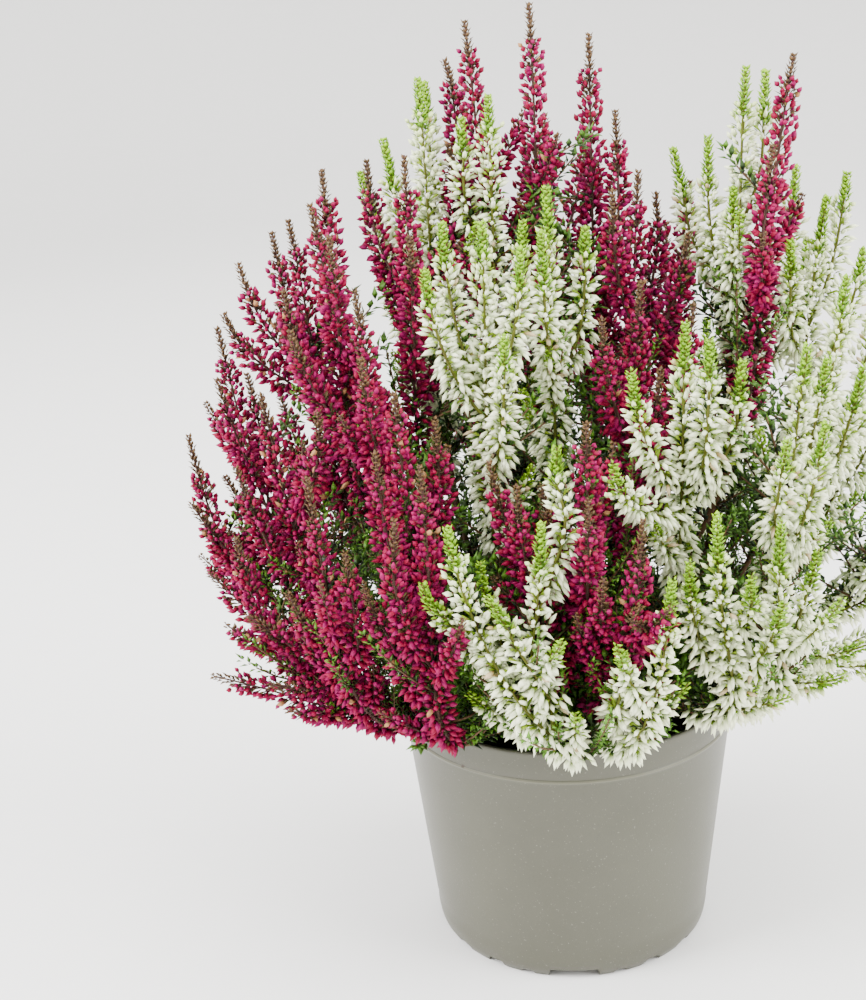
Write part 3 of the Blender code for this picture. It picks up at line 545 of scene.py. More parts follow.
class Look:
    """A Principled material under construction."""

    def __init__(self, name, gloss):
        self.material = bpy.data.materials.new(name)
        self.material.use_nodes = True
        self.tree = self.material.node_tree
        self.shader = self.tree.nodes["Principled BSDF"]
        self.shader.inputs["Specular IOR Level"].default_value = gloss

    def add(self, kind, settings, sockets, out=0):
        """Add a node: its settings first, then its sockets' values or links."""
        node = self.tree.nodes.new(kind)
        for name, value in settings.items():
            setattr(node, name, value)
        for name, value in sockets.items():
            self.feed(node.inputs[name], value)
        return Wire(self, node.outputs[out])

    def feed(self, socket, value):
        """Link a wire to a socket, or set the socket's value."""
        if isinstance(value, Wire):
            self.tree.links.new(value.socket, socket)
        else:
            socket.default_value = value

    def mix(self, share, first, second):
        """Colour first at share 0 or less and second at share 1 or more."""
        ends = [end if isinstance(end, Wire) else (*end, 1.0) for end in (first, second)]
        return self.add("ShaderNodeMix", {"data_type": "RGBA"},
                        {0: share, 6: ends[0], 7: ends[1]}, 2)

    def place(self):
        """Object coordinates."""
        return self.add("ShaderNodeTexCoord", {}, {}, "Object")

    def noise(self, scale, detail=3.0, roughness=0.55):
        """Cloudy noise from 0 to 1."""
        return self.add("ShaderNodeTexNoise", {}, {"Vector": self.place(), "Scale": scale,
                                                   "Detail": detail, "Roughness": roughness})

    def dye(self):
        """The piece's own attribute as three wires: tone, along and age."""
        colour = self.add("ShaderNodeAttribute", {"attribute_name": "dye"}, {}, "Color")
        parts = self.add("ShaderNodeSeparateColor", {}, {0: colour}).socket.node.outputs
        return [Wire(self, part) for part in parts]

    def bump(self, height, distance, strength):
        """A normal from a height, with its distance in metres."""
        return self.add("ShaderNodeBump", {}, {"Height": height, "Distance": distance,
                                               "Strength": strength})

    def finish(self, **inputs):
        """Link what changes over the surface to the shader, or set what doesn't."""
        for socket, value in inputs.items():
            self.feed(self.shader.inputs[socket.replace("_", " ")], value)
        return self.material


def shaded(colour, factor):
    """A colour made darker or lighter."""
    return [factor * part for part in colour]


def tint(name, description, default):
    """A colour that a user may change."""
    return FloatVectorProperty(name=name, description=description, default=default,
                               subtype="COLOR", size=3, min=0.0, max=1.0)


def millimetres(name, description, default):
    """A size in millimetres that a user may change."""
    return FloatProperty(name=name, description=description, default=default,
                         min=0.01, soft_max=100.0)


def amount(name, description, default, least, most):
    """A count that a user may change."""
    return IntProperty(name=name, description=description, default=default, min=least, max=most)


def watts(name, description, default):
    """The power of a light that a user may change."""
    return FloatProperty(name=name, description=description, default=default,
                         min=0.0, subtype="POWER", unit="POWER")


class HeatherPotSettings(bpy.types.PropertyGroup):
    """Colours and grain of the pot and the peat."""

    plastic: tint("Plastic", "Colour of the moulded plastic", (0.071, 0.0695, 0.0490))
    plastic_light: tint("Plastic, light", "Paler clouds in the plastic", (0.080, 0.0785, 0.0565))
    plastic_roughness: FloatProperty(name="Roughness", description="Roughness of the plastic",
                                     default=0.36, min=0.0, max=1.0, subtype="FACTOR")
    segments: amount("Segments", "Facets round the pot", 300, 48, 512)
    peat: tint("Peat", "Colour of moist peat", (0.010, 0.006, 0.004))
    peat_light: tint("Peat, dry", "Colour of dry crumbs and fibres", (0.045, 0.028, 0.016))
    crumbs: amount("Crumbs", "Number of loose crumbs on the peat", 600, 0, 4000)


class HeatherFloretSettings(bpy.types.PropertyGroup):
    """Sizes and colours of the florets."""

    crimson_length: millimetres("Crimson length", "Length of a crimson bud in mm", 3.9)
    crimson_width: millimetres("Crimson width", "Half the width of a crimson bud in mm", 0.90)
    crimson_per_mm: millimetres("Crimson per mm", "Crimson buds on each mm of spike", 3.7)
    crimson_twigs: amount("Crimson twigs", "Short twigs on each crimson spike", 3, 0, 12)
    crimson: tint("Crimson", "Main colour of the crimson buds", (0.215, 0.0004, 0.026))
    magenta: tint("Magenta", "Cooler colour of the crimson buds", (0.190, 0.0004, 0.064))
    # Maroon foot: partly the buds' own colour, partly painted shade where they crowd the stem.
    maroon_foot_and_shade: tint("Maroon", "Dark foot of the crimson buds", (0.042, 0.002, 0.005))
    # Blush is a painted highlight: paler pink near the buds' tips, where light catches them.
    painted_tip_highlight: tint("Blush", "Pale tips of the crimson buds", (0.350, 0.005, 0.100))
    spent: tint("Spent", "Colour of a spent bud", (0.380, 0.190, 0.080))
    white_length: millimetres("White length", "Length of a white floret in mm", 5.0)
    white_width: millimetres("White width", "Half the width of a white floret in mm", 0.82)
    white_per_mm: millimetres("White per mm", "White florets on each mm of spike", 2.9)
    white_twigs: amount("White twigs", "Short twigs on each white spike", 2, 0, 12)
    white: tint("White", "Main colour of the white florets", (0.880, 0.930, 0.640))
    young: tint("Young", "Colour of the youngest white florets", (0.420, 0.580, 0.060))
    # The foot colour is partly the florets' own green and partly painted shade deep in the spike.
    white_foot_and_shade: tint("White, foot", "Green foot of the white florets", (0.130, 0.240, 0.012))


class HeatherLeafSettings(bpy.types.PropertyGroup):
    """Sizes and colours of the leaves and stems."""

    leaf_length: millimetres("Leaf length", "Length of a scale leaf in mm", 3.0)
    shoots: amount("Shoots", "Leafy shoots on each branch", 13, 3, 40)
    tall_shoots: amount("Tall shoots", "Long leafy shoots on each branch", 2, 0, 20)
    filling: amount("Filling", "Dark shoots between the branches, each branch", 10, 0, 60)
    low_shoots: amount("Low shoots", "Leafy shoots of each plant over the peat", 22, 0, 60)
    # Dark green is partly the old leaves' colour and partly painted shade for the plant's inside.
    dark: tint("Dark green", "Old leaves inside the plant", (0.006, 0.020, 0.003))
    bright: tint("Bright green", "Young leaves", (0.090, 0.230, 0.006))
    lime: tint("Lime", "Leafy tips of the white sprays", (0.300, 0.540, 0.004))
    bronze: tint("Bronze", "Leafy tips of the crimson sprays", (0.130, 0.066, 0.018))
    bark: tint("Bark", "Woody stems", (0.070, 0.034, 0.016))
    green_stem: tint("Green stem", "Young stems of the white sprays", (0.130, 0.170, 0.008))
    plum_stem: tint("Plum stem", "Young stems of the crimson sprays", (0.075, 0.030, 0.030))


class HeatherStageSettings(bpy.types.PropertyGroup):
    """Floor and lights of the studio."""

    floor: tint("Floor", "Colour of the floor", (0.860, 0.855, 0.845))
    key_watts: watts("Key light", "Power of the key light", 64.0)
    fill_watts: watts("Fill light", "Power of the fill light", 54.0)
    top_watts: watts("Top light", "Power of the top light", 30.0)
    sky: FloatProperty(name="Sky", description="Strength of the light from all round",
                       default=1.15, min=0.0, max=4.0)


def options(group):
    """The scene's settings of one group."""
    return getattr(bpy.context.scene, "heather_" + group)


def crimson_bud_material():
    """Crimson to magenta by tone; a maroon foot, partly painted shade; a painted highlight near the
    tip.
    """
    seen = options("florets")
    look = Look("crimson_bud_petal", 0.15)
    tone, along, _ = look.dye()
    grain = look.noise(900.0, 2.0)
    body = look.mix((tone - 0.25) * 1.4 + (grain - 0.5) * 0.5, seen.crimson, seen.magenta)
    # Maroon towards each bud's foot: partly its own colour, partly painted shade.
    body = look.mix((0.45 - along) * 1.5 + (grain - 0.5) * 0.4, body, seen.maroon_foot_and_shade)
    # Painted highlight: paler pink towards each bud's tip.
    body = look.mix(along.between(0.45, 0.95) * (0.15 + 0.85 * tone) * 0.8, body, seen.painted_tip_highlight)
    body = look.mix(tone > 0.985, body, seen.spent)
    return look.finish(Base_Color=body, Roughness=0.42 + grain * 0.2)


def white_floret_material():
    """White with a green foot that is partly painted shade, greener where the floret is young, and
    a few spent ones.
    """
    seen = options("florets")
    look = Look("white_floret_petal", 0.3)
    tone, along, age = look.dye()
    grain = look.noise(700.0, 2.0)
    # Foot mask: the green foot of each floret, darkened partly as painted shade near the stem.
    shade = (0.54 - along) * 1.8 + (grain - 0.5) * 0.5 + (tone - 0.6) * 0.3
    body = look.mix(shade, seen.white, seen.white_foot_and_shade)
    body = look.mix(age.between(0.80, 1.05) * 0.6, body, seen.young)
    body = look.mix((tone > 0.985) * 0.7, body, seen.spent)
    return look.finish(Base_Color=body, Roughness=0.42 + grain * 0.2)


def leaf_material(name, old, young, ageing=0.5):
    """A scale leaf: old colour at its foot, young at its tip, mixed by its tone and age."""
    look = Look(name, 0.35)
    tone, along, age = look.dye()
    grain = look.noise(420.0, 2.0)
    share = along * 0.45 + tone * 0.55 + (grain - 0.5) * 0.5 + (age - 0.5) * ageing
    return look.finish(Base_Color=look.mix(share, old, young), Roughness=0.45 + grain * 0.25)


def stem_material(name, low, high):
    """Bark: streaks of low and high, with fine cracks as bump."""
    look = Look(name, 0.3)
    grain = look.noise(520.0, 4.0)
    share = look.dye()[2] * 0.7 + (grain - 0.5) * 0.9 + 0.15
    return look.finish(Base_Color=look.mix(share, low, high), Roughness=0.6 + grain * 0.25,
                       Normal=look.bump(grain, 0.0003, 0.6))


@functools.cache
def plant_materials(colour):
    """Materials of one colour's sprays: florets, tip leaves, stems and calyx."""
    leaf = options("leaves")
    if colour == "crimson":
        return (crimson_bud_material(),
                leaf_material("bronze_tip_leaf", (0.042, 0.026, 0.012), leaf.bronze),
                stem_material("plum_stem", leaf.bark, leaf.plum_stem),
                leaf_material("olive_calyx", (0.028, 0.012, 0.006), (0.110, 0.085, 0.018)))
    return (white_floret_material(),
            leaf_material("lime_tip_leaf", (0.080, 0.200, 0.002), leaf.lime),
            stem_material("green_stem", leaf.bark, leaf.green_stem),
            leaf_material("green_calyx", (0.080, 0.150, 0.003), (0.300, 0.430, 0.012)))


@functools.cache
def foliage_materials():
    """Materials of the leafy stems: leaves and bark."""
    leaf = options("leaves")
    return (leaf_material("heather_leaf", leaf.dark, leaf.bright, 0.9),
            stem_material("heather_bark", leaf.bark, (0.110, 0.058, 0.024)))


def plastic_material():
    """Moulded plastic: soft clouds, dust specks, a very fine grain and a painted highlight along
    the bead.
    """
    pot = options("pot")
    look = Look("grey_moulded_plastic", 0.35)
    clouds = look.noise(24.0, 4.0, 0.6)
    dust = look.noise(1400.0, 2.0, 0.5)
    fine = look.noise(2600.0, 2.0, 0.5)
    body = look.mix(clouds.between(0.30, 0.72), pot.plastic, pot.plastic_light)
    body = look.mix(dust.between(0.66, 0.74) * 0.25, body, (0.34, 0.33, 0.29))
    body = look.mix(dust.between(0.36, 0.28) * 0.2, body, shaded(pot.plastic, 0.55))
    height = look.add("ShaderNodeSeparateXYZ", {}, {"Vector": look.place()}, "Z")
    bead = BEAD * MM
    # Painted highlight: a paler band along the bead's crest, where its edge catches the light.
    painted_bead_highlight = (height.between(bead - 0.0004, bead - 0.0001)
              * (1 - height.between(bead + 0.0004, bead + 0.0008)))
    body = look.mix(painted_bead_highlight * 0.8, body, shaded(pot.plastic, 2.1))
    away = look.add("ShaderNodeVectorMath", {"operation": "DISTANCE"},
                    {0: look.place(), 1: PEAT_MARK}, "Value")
    mark = (away + (fine - 0.5) * 0.0014).between(0.0010, 0.0004) * 0.85
    body = look.mix(mark, body, pot.peat_light)
    return look.finish(Base_Color=body, Roughness=pot.plastic_roughness - 0.06 + clouds * 0.12,
                       Normal=look.bump(fine, 0.00012, 0.35))


def peat_material():
    """Moist peat with dry crumbs and fibres."""
    pot = options("pot")
    look = Look("peat", 0.2)
    coarse = look.noise(260.0, 5.0, 0.7)
    fine = look.noise(1500.0, 4.0, 0.7)
    share = (coarse.between(0.52, 0.75) * 0.7 + (fine - 0.5) * 0.6
             + (look.dye()[0] - 0.4) * 0.5)
    return look.finish(Base_Color=look.mix(share, pot.peat, pot.peat_light),
                       Roughness=0.8 + fine * 0.2, Normal=look.bump(fine, 0.0008, 0.9))


def floor_material():
    """A pale matte floor with a barely seen grain."""
    floor = options("stage").floor
    look = Look("studio_floor", 0.2)
    body = look.mix(look.noise(60.0) * 0.5, floor, shaded(floor, 0.94))
    return look.finish(Base_Color=body, Roughness=0.85)


# What differs between a crimson and a white spike. A floret leans by lean_foot + lean_rise times
# its height to the lean_power, and by lean_inner more in the inner tier.
SPIKES = {
    "crimson": SimpleNamespace(
        colour="crimson", radius=6.4, calyx=0.55, weight=0.30, sway=0.25, sag=0.15,
        outer=spindle(4, (0.22, 0.56), (0.80, 0.95)), inner=spindle(3, (0.45,), (1.15,)),
        lean_foot=0.2, lean_rise=0.75, lean_power=1.0, lean_inner=0.4, lean_scatter=0.30,
        tip=20.0, bare_tip=0.60, whorl_step=1.4,
        leaf_lean=0.95, leaf_length=3.5, leaf_width=0.72, leaf_stand=0.6),
    "white": SimpleNamespace(
        colour="white", radius=7.4, calyx=0.80, weight=0.75, sway=0.3, sag=0.5,
        outer=spindle(4, (0.18, 0.56), (0.70, 1.0)), inner=spindle(3, (0.30, 0.66), (0.9, 0.9)),
        lean_foot=-0.1, lean_rise=1.0, lean_power=1.5, lean_inner=0.55, lean_scatter=0.24,
        tip=15.0, bare_tip=0.8, whorl_step=1.15,
        leaf_lean=0.80, leaf_length=3.4, leaf_width=0.92, leaf_stand=0.9),
}
CALYX = keel(0.70)
LEAF = keel(0.42)
CRUMB = spindle(4, (0.25, 0.70), (0.8, 0.9))
SLOT_FLORET, SLOT_TIP, SLOT_STEM, SLOT_CALYX = range(4)
SLOT_LEAF, SLOT_BARK = range(2)


def add_florets(bunch, path, kind, first, top, draw, share):
    """Florets on a golden-angle spiral round the stem, in two tiers.

    A floret at height h of the spike heads outwards, leaning towards the tip as h grows and
    sinking under its own weight lower down. Its foot stands off the stem by its stalk's length.
    """
    length, width, per_mm = (getattr(options("florets"), f"{kind.colour}_{name}")
                             for name in ("length", "width", "per_mm"))
    count = max(3, int((top - first) * per_mm * (0.4 + 0.6 * share)))
    even = (np.arange(count) + draw.uniform(-0.5, 0.5, count) + 0.5) / count
    height = np.clip(even * (1 + 0.22 * even) / 1.22, 0, 1)
    centre, tangent, side, across = path.at(first + (top - first) * height)
    outward = around(GOLDEN * np.arange(count) + draw.normal(0, 0.3, count), side, across)
    inner = np.arange(count) % 9 % 2 == 1
    swell = np.minimum(1.0, 0.74 + 1.6 * height) * (1.08 - 0.42 * height ** 2)
    reach = kind.radius * share * swell * draw.uniform(0.84, 1.1, count)
    reach = np.where(inner, 0.68 * reach, reach)
    lean = (kind.lean_rise * height ** kind.lean_power + kind.lean_foot
            + kind.lean_inner * inner + draw.normal(0, kind.lean_scatter, count))
    weight = kind.weight * (1 - height) + draw.uniform(0, kind.sway, count)
    heading = unit(around(lean, outward, tangent) + weight[:, None] * DOWN)
    size = length * draw.uniform(0.78, 1.12, count) * (1.04 - 0.45 * height ** 4)
    stalk = np.maximum(reach - size * np.maximum((heading * outward).sum(1), 0.35), 0.5)
    base = centre + outward * stalk[:, None] + tangent * (0.25 * stalk)[:, None]
    tone = draw.random(count)
    sag = kind.sag * draw.uniform(0, 1, count)
    wide = width * draw.uniform(0.85, 1.15, count)
    roll = draw.uniform(0, 6, count)
    for shape, here in ((kind.outer, ~inner), (kind.inner, inner)):
        bunch.copies(shape, SLOT_FLORET, base[here], heading[here], size[here], wide[here],
                     wide[here], tone[here], height[here], sag[here], roll[here])
    here = ~inner & (np.arange(count) % 5 < 3)
    root = (centre - tangent * (0.5 * stalk)[:, None])[here]
    joint = (base + heading * (0.36 * size)[:, None])[here] - root
    bunch.copies(CALYX, SLOT_CALYX, root, unit(joint), np.linalg.norm(joint, axis=1),
                 kind.calyx, kind.calyx, draw.random(len(root)), height[here])


def add_whorls(bunch, slot, seats, length, width, lean, age, draw, each, stand):
    """Small leaves in whorls: each heads along the stem, turned outwards by lean."""
    centre, tangent, side, across = (values[:, None] for values in seats)
    count = len(centre)
    turn = (np.arange(count) % 2) * math.pi / each + draw.uniform(0, 0.4, count)
    angle = turn[:, None] + ring_angles(each) + draw.normal(0, 0.12, (count, each))
    outward = around(angle, side, across)
    lean = np.broadcast_to(lean, count)[:, None] + draw.normal(0, 0.12, (count, each))
    heading = unit(around(lean, tangent, outward))
    size = np.broadcast_to(length, count)[:, None] * draw.uniform(0.8, 1.15, (count, each))
    bunch.copies(LEAF, slot, (centre + stand * outward).reshape(-1, 3), heading.reshape(-1, 3),
                 size.ravel(), width, 0.55 * width, draw.random(count * each),
                 np.broadcast_to(age, count).repeat(each))


def add_spike(bunch, path, kind, start, bare, draw, share=1.0):
    """One flowering spike along a path: stem, florets, scale leaves at the tip and bracts."""
    total = path.total
    tip = min(kind.tip * draw.uniform(0.7, 1.3), 0.35 * total)
    first, top = start + bare, total - kind.bare_tip * tip
    stations = np.linspace(start - 0.2, total - 0.5, max(5, int((total - start) / 6)))
    radii = np.linspace(0.65, 0.35, len(stations)) * share
    bunch.tube(SLOT_STEM, path.at(stations), radii, 4, 0.5, 0.6)
    add_florets(bunch, path, kind, first, top, draw, share)
    whorls = np.arange(total - tip, total - 0.6, kind.whorl_step)
    rise = (whorls - whorls[0]) / max(whorls[-1] - whorls[0], 1.0)
    length = kind.leaf_length * (1.0 - 0.5 * rise) * (0.4 + 0.6 * share)
    add_whorls(bunch, SLOT_TIP, path.at(whorls), length, kind.leaf_width,
               kind.leaf_lean * (1 - 0.6 * rise), rise, draw, 4 if share == 1.0 else 3,
               kind.leaf_stand)
    bracts = np.sort(draw.uniform(first, top, int((top - first) * 0.45)))
    add_whorls(bunch, SLOT_CALYX, path.at(bracts), 3.2, 0.55, 1.0, 0.5, draw, 1, 1.4)


def add_twigs(bunch, path, kind, start, draw):
    """Short flowering twigs off the lower part of a spike, each bending up from its fork."""
    count = getattr(options("florets"), kind.colour + "_twigs")
    reach = path.total - start
    steps = np.arange(count) + draw.uniform(0.1, 0.9, count)
    origin, tangent, side, across = path.at(start + NECK + reach * steps / count * 0.55)
    outward = around(2.4 * np.arange(count) + draw.uniform(0, 6), side, across)
    heading = rising(tangent * 0.8 + outward, 0.30)
    t = np.linspace(0, 1, 7)[:, None]
    for row in range(count):
        bend = t * heading[row] + t ** 2 * (0.4 * tangent[row] - 0.15 * DOWN)
        curve = origin[row] + draw.uniform(*TWIG_LENGTH) * bend
        add_spike(bunch, Path(curve), kind, 0.0, 3.5, draw, 0.72)


def make_sprays(colour):
    """All sprays of one colour, one piece for each node of the solid model."""
    mains, flowering, sides, owners = place_axes()
    kind = SPIKES[colour]
    chosen = [index for index, spray in enumerate(SPRAYS) if spray[0].startswith(colour)]
    for number, index in enumerate(chosen, 1):
        draw = np.random.default_rng(SEED + 100 * number + (colour == "white"))
        bunch = Bunch()
        path = Path(mains[index])
        start = path.total - flowering[index]
        add_spike(bunch, path, kind, start, NECK, draw)
        add_twigs(bunch, path, kind, start, draw)
        for curve, owner in zip(sides, owners):
            if owner == index:
                add_spike(bunch, Path(curve), kind, 0.0, SIDE_BARE, draw)
        node = f"{colour}_spray_{number:02d}"
        bunch.finish(node + "_fine", plant_materials(colour), node, colour + "_sprays")


def add_leafy(bunch, origin, heading, length, lift, steps, age, draw, size=1.0):
    """Shoots covered in scale leaves: each is origin + length (t heading + lift t^2 up)."""
    t = np.linspace(0.0, 1.0, steps)[None, :, None]
    bend = -lift * DOWN
    centre = origin[:, None] + length[:, None, None] * (t * heading[:, None] + t ** 2 * bend)
    tangent = unit(heading[:, None] + 2 * t * bend)
    side = unit(np.cross(tangent, np.array([0.31, 0.87, 0.12])))
    seats = centre, tangent, side, np.cross(tangent, side)
    for row in range(len(origin)):
        thin = [values[row, ::3] for values in seats]
        radii = np.linspace(0.55, 0.3, len(thin[0]))
        bunch.tube(SLOT_BARK, thin, radii, 3, 0.5, 0.7)
    ages = np.linspace(-0.2, 0.5, steps)[None, :] + age[:, None]
    add_whorls(bunch, SLOT_LEAF, [values.reshape(-1, 3) for values in seats],
               size * options("leaves").leaf_length, 0.70 * size, 0.75,
               np.clip(ages, 0, 1).ravel(), draw, 3, 0.3)


def add_shoots(bunch, path, end, draw):
    """Leafy shoots off a branch and off the foot of its spike, then the tall ones."""
    count = options("leaves").shoots
    fork = np.concatenate([draw.uniform(min(8.0, 0.3 * end), end, count - count // 3),
                           draw.uniform(end, end + 45.0, count // 3)])
    origin, tangent, side, across = path.at(fork)
    outward = around(GOLDEN * np.arange(count) + draw.uniform(0, 6), side, across)
    heading = rising(tangent + outward * draw.uniform(0.8, 1.6, count)[:, None], 0.35)
    age = np.clip(0.15 + 0.5 * (fork - end) / 60.0 + draw.normal(0, 0.1, count), 0, 1)
    add_leafy(bunch, origin, heading, draw.uniform(*SHOOT_LENGTH, count), 0.35, 12, age, draw)
    count = options("leaves").tall_shoots
    origin, tangent, _, _ = path.at(draw.uniform(0.3 * end, end + 10.0, count))
    heading = unit(tangent + draw.normal(0, 0.35, (count, 3)) - 0.6 * DOWN)
    add_leafy(bunch, origin, heading, draw.uniform(*TALL_LENGTH, count), 0.3, 26,
              draw.uniform(0, 0.4, count), draw)


def add_filling(bunch, path, end, draw):
    """Dark leafy shoots that close the space between the branches and behind the spikes, partly
    painted shade.
    """
    count = options("leaves").filling
    fork = draw.uniform(0.35 * end, end + 0.65 * (path.total - end), count)
    origin, tangent, _, _ = path.at(fork)
    inward = -unit(origin * [1, 1, 0])
    heading = unit(0.5 * tangent + 0.9 * inward + draw.normal(0, 0.32, (count, 3)))
    # Ages near 0 give the darkest leaf colour, partly painted shade inside the plant.
    add_leafy(bunch, origin, rising(heading, 0.05), draw.uniform(*FILLING_LENGTH, count), 0.2, 9,
              draw.uniform(0, 0.1, count), draw, 1.5)


def add_low_shoots(bunch, x, y, draw):
    """Long leafy shoots from the crown out over the peat towards the rim, with bright sprigs."""
    count = options("leaves").low_shoots
    turn = math.atan2(y, x) + np.linspace(-2.6, 2.6, count) + draw.uniform(-0.15, 0.15, count)
    rise = draw.uniform(0.16, 0.7, count)
    heading = unit(np.stack([np.cos(turn), np.sin(turn), rise], 1))
    origin = np.array([x, y, CROWN_HEIGHT - 1.0]) + 2.0 * heading
    outer = np.stack([x + 40 * np.cos(turn), y + 40 * np.sin(turn)], 1)
    room = MOUTH / np.maximum(np.linalg.norm(outer, axis=1), MOUTH)
    length = draw.uniform(*LOW_LENGTH, count) * room ** 1.6
    add_leafy(bunch, origin, heading, length, 0.12, 20, draw.uniform(0.2, 0.8, count), draw)
    for share in (0.55, 0.75, 0.92):
        fork = origin + length[:, None] * (share * heading - share ** 2 * 0.12 * DOWN)
        sprig = unit(heading + draw.normal(0, 0.5, (count, 3)))
        sprig[:, 2] = np.clip(sprig[:, 2], -0.35, 0.4)
        add_leafy(bunch, fork, unit(sprig), draw.uniform(*SPRIG_LENGTH, count), 0.05, 7,
                  draw.uniform(0.7, 1.0, count), draw, 1.2)


def wall_radius(height):
    """Outer radius of the pot's straight tapered wall at a height."""
    share = (height - BASE_HEIGHT) / (POT_HEIGHT - BASE_HEIGHT)
    return BASE_RADIUS + share * (RIM_RADIUS - BASE_RADIUS)


def notch_height(angle):
    """How high the foot is cut at each angle round the pot: flat steps with sloping ends."""
    height = np.zeros_like(angle)
    for quarter in range(4):
        for middle, width, rise in FOOT_NOTCHES:
            turn = math.radians(-90 + 90 * quarter + middle)
            away = np.abs((angle - turn + math.pi) % FULL_TURN - math.pi) * FOOT_RADIUS
            cut = np.clip((width / 2 - away) / 0.7 + 0.4, 0, 1)
            height = np.maximum(height, rise * cut)
    return height


def shifted(radius, height, *moves):
    """Points of a profile, each given by its shift from one radius and height."""
    return [(radius + out, height + up) for out, up in moves]


def wall(low, high, count, inset):
    """Evenly spaced points of the pot's wall between two heights, moved in by the inset."""
    return [(wall_radius(height) - inset, height) for height in np.linspace(low, high, count)]


def pot_profile():
    """Half section of the pot, from the middle of its underside round to that of its floor."""
    inner_foot = FOOT_RADIUS - FOOT_THICKNESS
    return np.array([
        (FLOOR_FLAT, FLOOR_BELOW),
        *shifted(inner_foot, FLOOR_BELOW, (-2.0, 0), (-1.1, -0.3)),
        *shifted(inner_foot, 0, (-0.3, 1.4), (0, 0.25), (0.25, 0)),
        *shifted(FOOT_RADIUS, 0, (-0.25, 0), (0, 0.25), (0.7, 1.4), (1.5, 2.6), (1.95, 4.2),
                 (2.3, 6.4), (2.5, 8.0)),
        *wall(10.5, 10.5, 1, 0.12),
        *wall(13.0, BEAD - 1.4, 7, 0),
        *shifted(wall_radius(BEAD), BEAD, (-0.02, -1.0), (0.06, -0.7), (0.28, -0.35), (0.42, 0),
                 (0.28, 0.45), (0.02, 0.85)),
        *wall(BEAD + 1.4, POT_HEIGHT - 1.6, 3, -0.02),
        *shifted(RIM_RADIUS, POT_HEIGHT, (0, -0.8), (-0.15, -0.3), (-0.5, 0), (-1.6, 0),
                 (-2.0, -0.3), (-2.2, -0.8)),
        *wall(POT_HEIGHT - 2.5, BASE_HEIGHT, 4, WALL),
        (inner_foot + 0.6, 8.5),
        *shifted(inner_foot, FLOOR_ABOVE, (-0.5, 0.4), (-1.4, 0)),
        (FLOOR_FLAT, FLOOR_ABOVE),
    ])


def turned(profile, segments):
    """Rings of points: a profile of radii and heights turned round Z."""
    angle = ring_angles(segments)
    return np.stack([profile[:, :1] * np.cos(angle), profile[:, :1] * np.sin(angle),
                     profile[:, 1:].repeat(segments, 1)], -1)


def drill_drain_holes(thing):
    """Cut the drain holes through the floor with pointed cylinders."""
    rings, faces = [], []
    tall, low = 20.0, -4.5
    points, corners = spindle(28, (0.1, 0.9), (DRAIN_RADIUS, DRAIN_RADIUS))
    for hole in range(DRAIN_HOLES):
        turn = FULL_TURN * (hole + 0.5) / DRAIN_HOLES
        middle = np.array([DRAIN_RING * math.cos(turn), DRAIN_RING * math.sin(turn), low])
        faces.append(corners + hole * len(points))
        rings.append(points * [1, 1, tall] + middle)
    cutter = mesh_object("drain_cutter", np.concatenate(rings) * MM, np.concatenate(faces), [])
    change = thing.modifiers.new("Drain holes", "BOOLEAN")
    change.operation = "DIFFERENCE"
    change.object = cutter
    graph = bpy.context.evaluated_depsgraph_get()
    data = bpy.data.meshes.new_from_object(thing.evaluated_get(graph))
    thing.modifiers.clear()
    thing.data = data
    bpy.data.objects.remove(cutter)


def peat_height(x, y):
    """Height of the peat: a low mound plus waves of several lengths."""
    mound = np.cos(np.clip(np.hypot(x, y) / MOUTH, 0, 1) * math.pi / 2)
    top = SOIL_EDGE + (SOIL_CROWN - SOIL_EDGE) * mound
    draw = np.random.default_rng(SEED + 1)
    for length, rise in PEAT_WAVES:
        for _ in range(4):
            turn, phase = draw.uniform(0, FULL_TURN, 2)
            run = x * math.cos(turn) + y * math.sin(turn)
            top = top + 0.5 * rise * np.sin(run * FULL_TURN / length + phase)
    return top - 1.0


class HEATHER_OT_pot(bpy.types.Operator):
    """Make the pot: a turned profile whose foot is raised where the notches are"""

    bl_idname = "heather.make_pot"
    bl_label = "Pot"

    def execute(self, context):
        segments = options("pot").segments
        profile = pot_profile()
        points = turned(profile, segments)
        foot = (profile[:, 1] < 4.0) & (profile[:, 0] > FOOT_RADIUS - FOOT_THICKNESS - 1.0)
        notches = notch_height(ring_angles(segments)) + 0.02 * profile[foot][:, 1:]
        points[foot, :, 2] = np.maximum(points[foot][..., 2], notches)
        points = np.concatenate([points.reshape(-1, 3), [[0, 0, FLOOR_BELOW], [0, 0, FLOOR_ABOVE]]])
        thing = mesh_object("pot_fine", points * MM, closed_grid(len(profile), segments),
                            [plastic_material()])
        drill_drain_holes(thing)
        thing.data.shade_smooth()
        thing.data.set_sharp_from_angle(angle=math.radians(38))
        settle(thing, "pot")
        return {"FINISHED"}


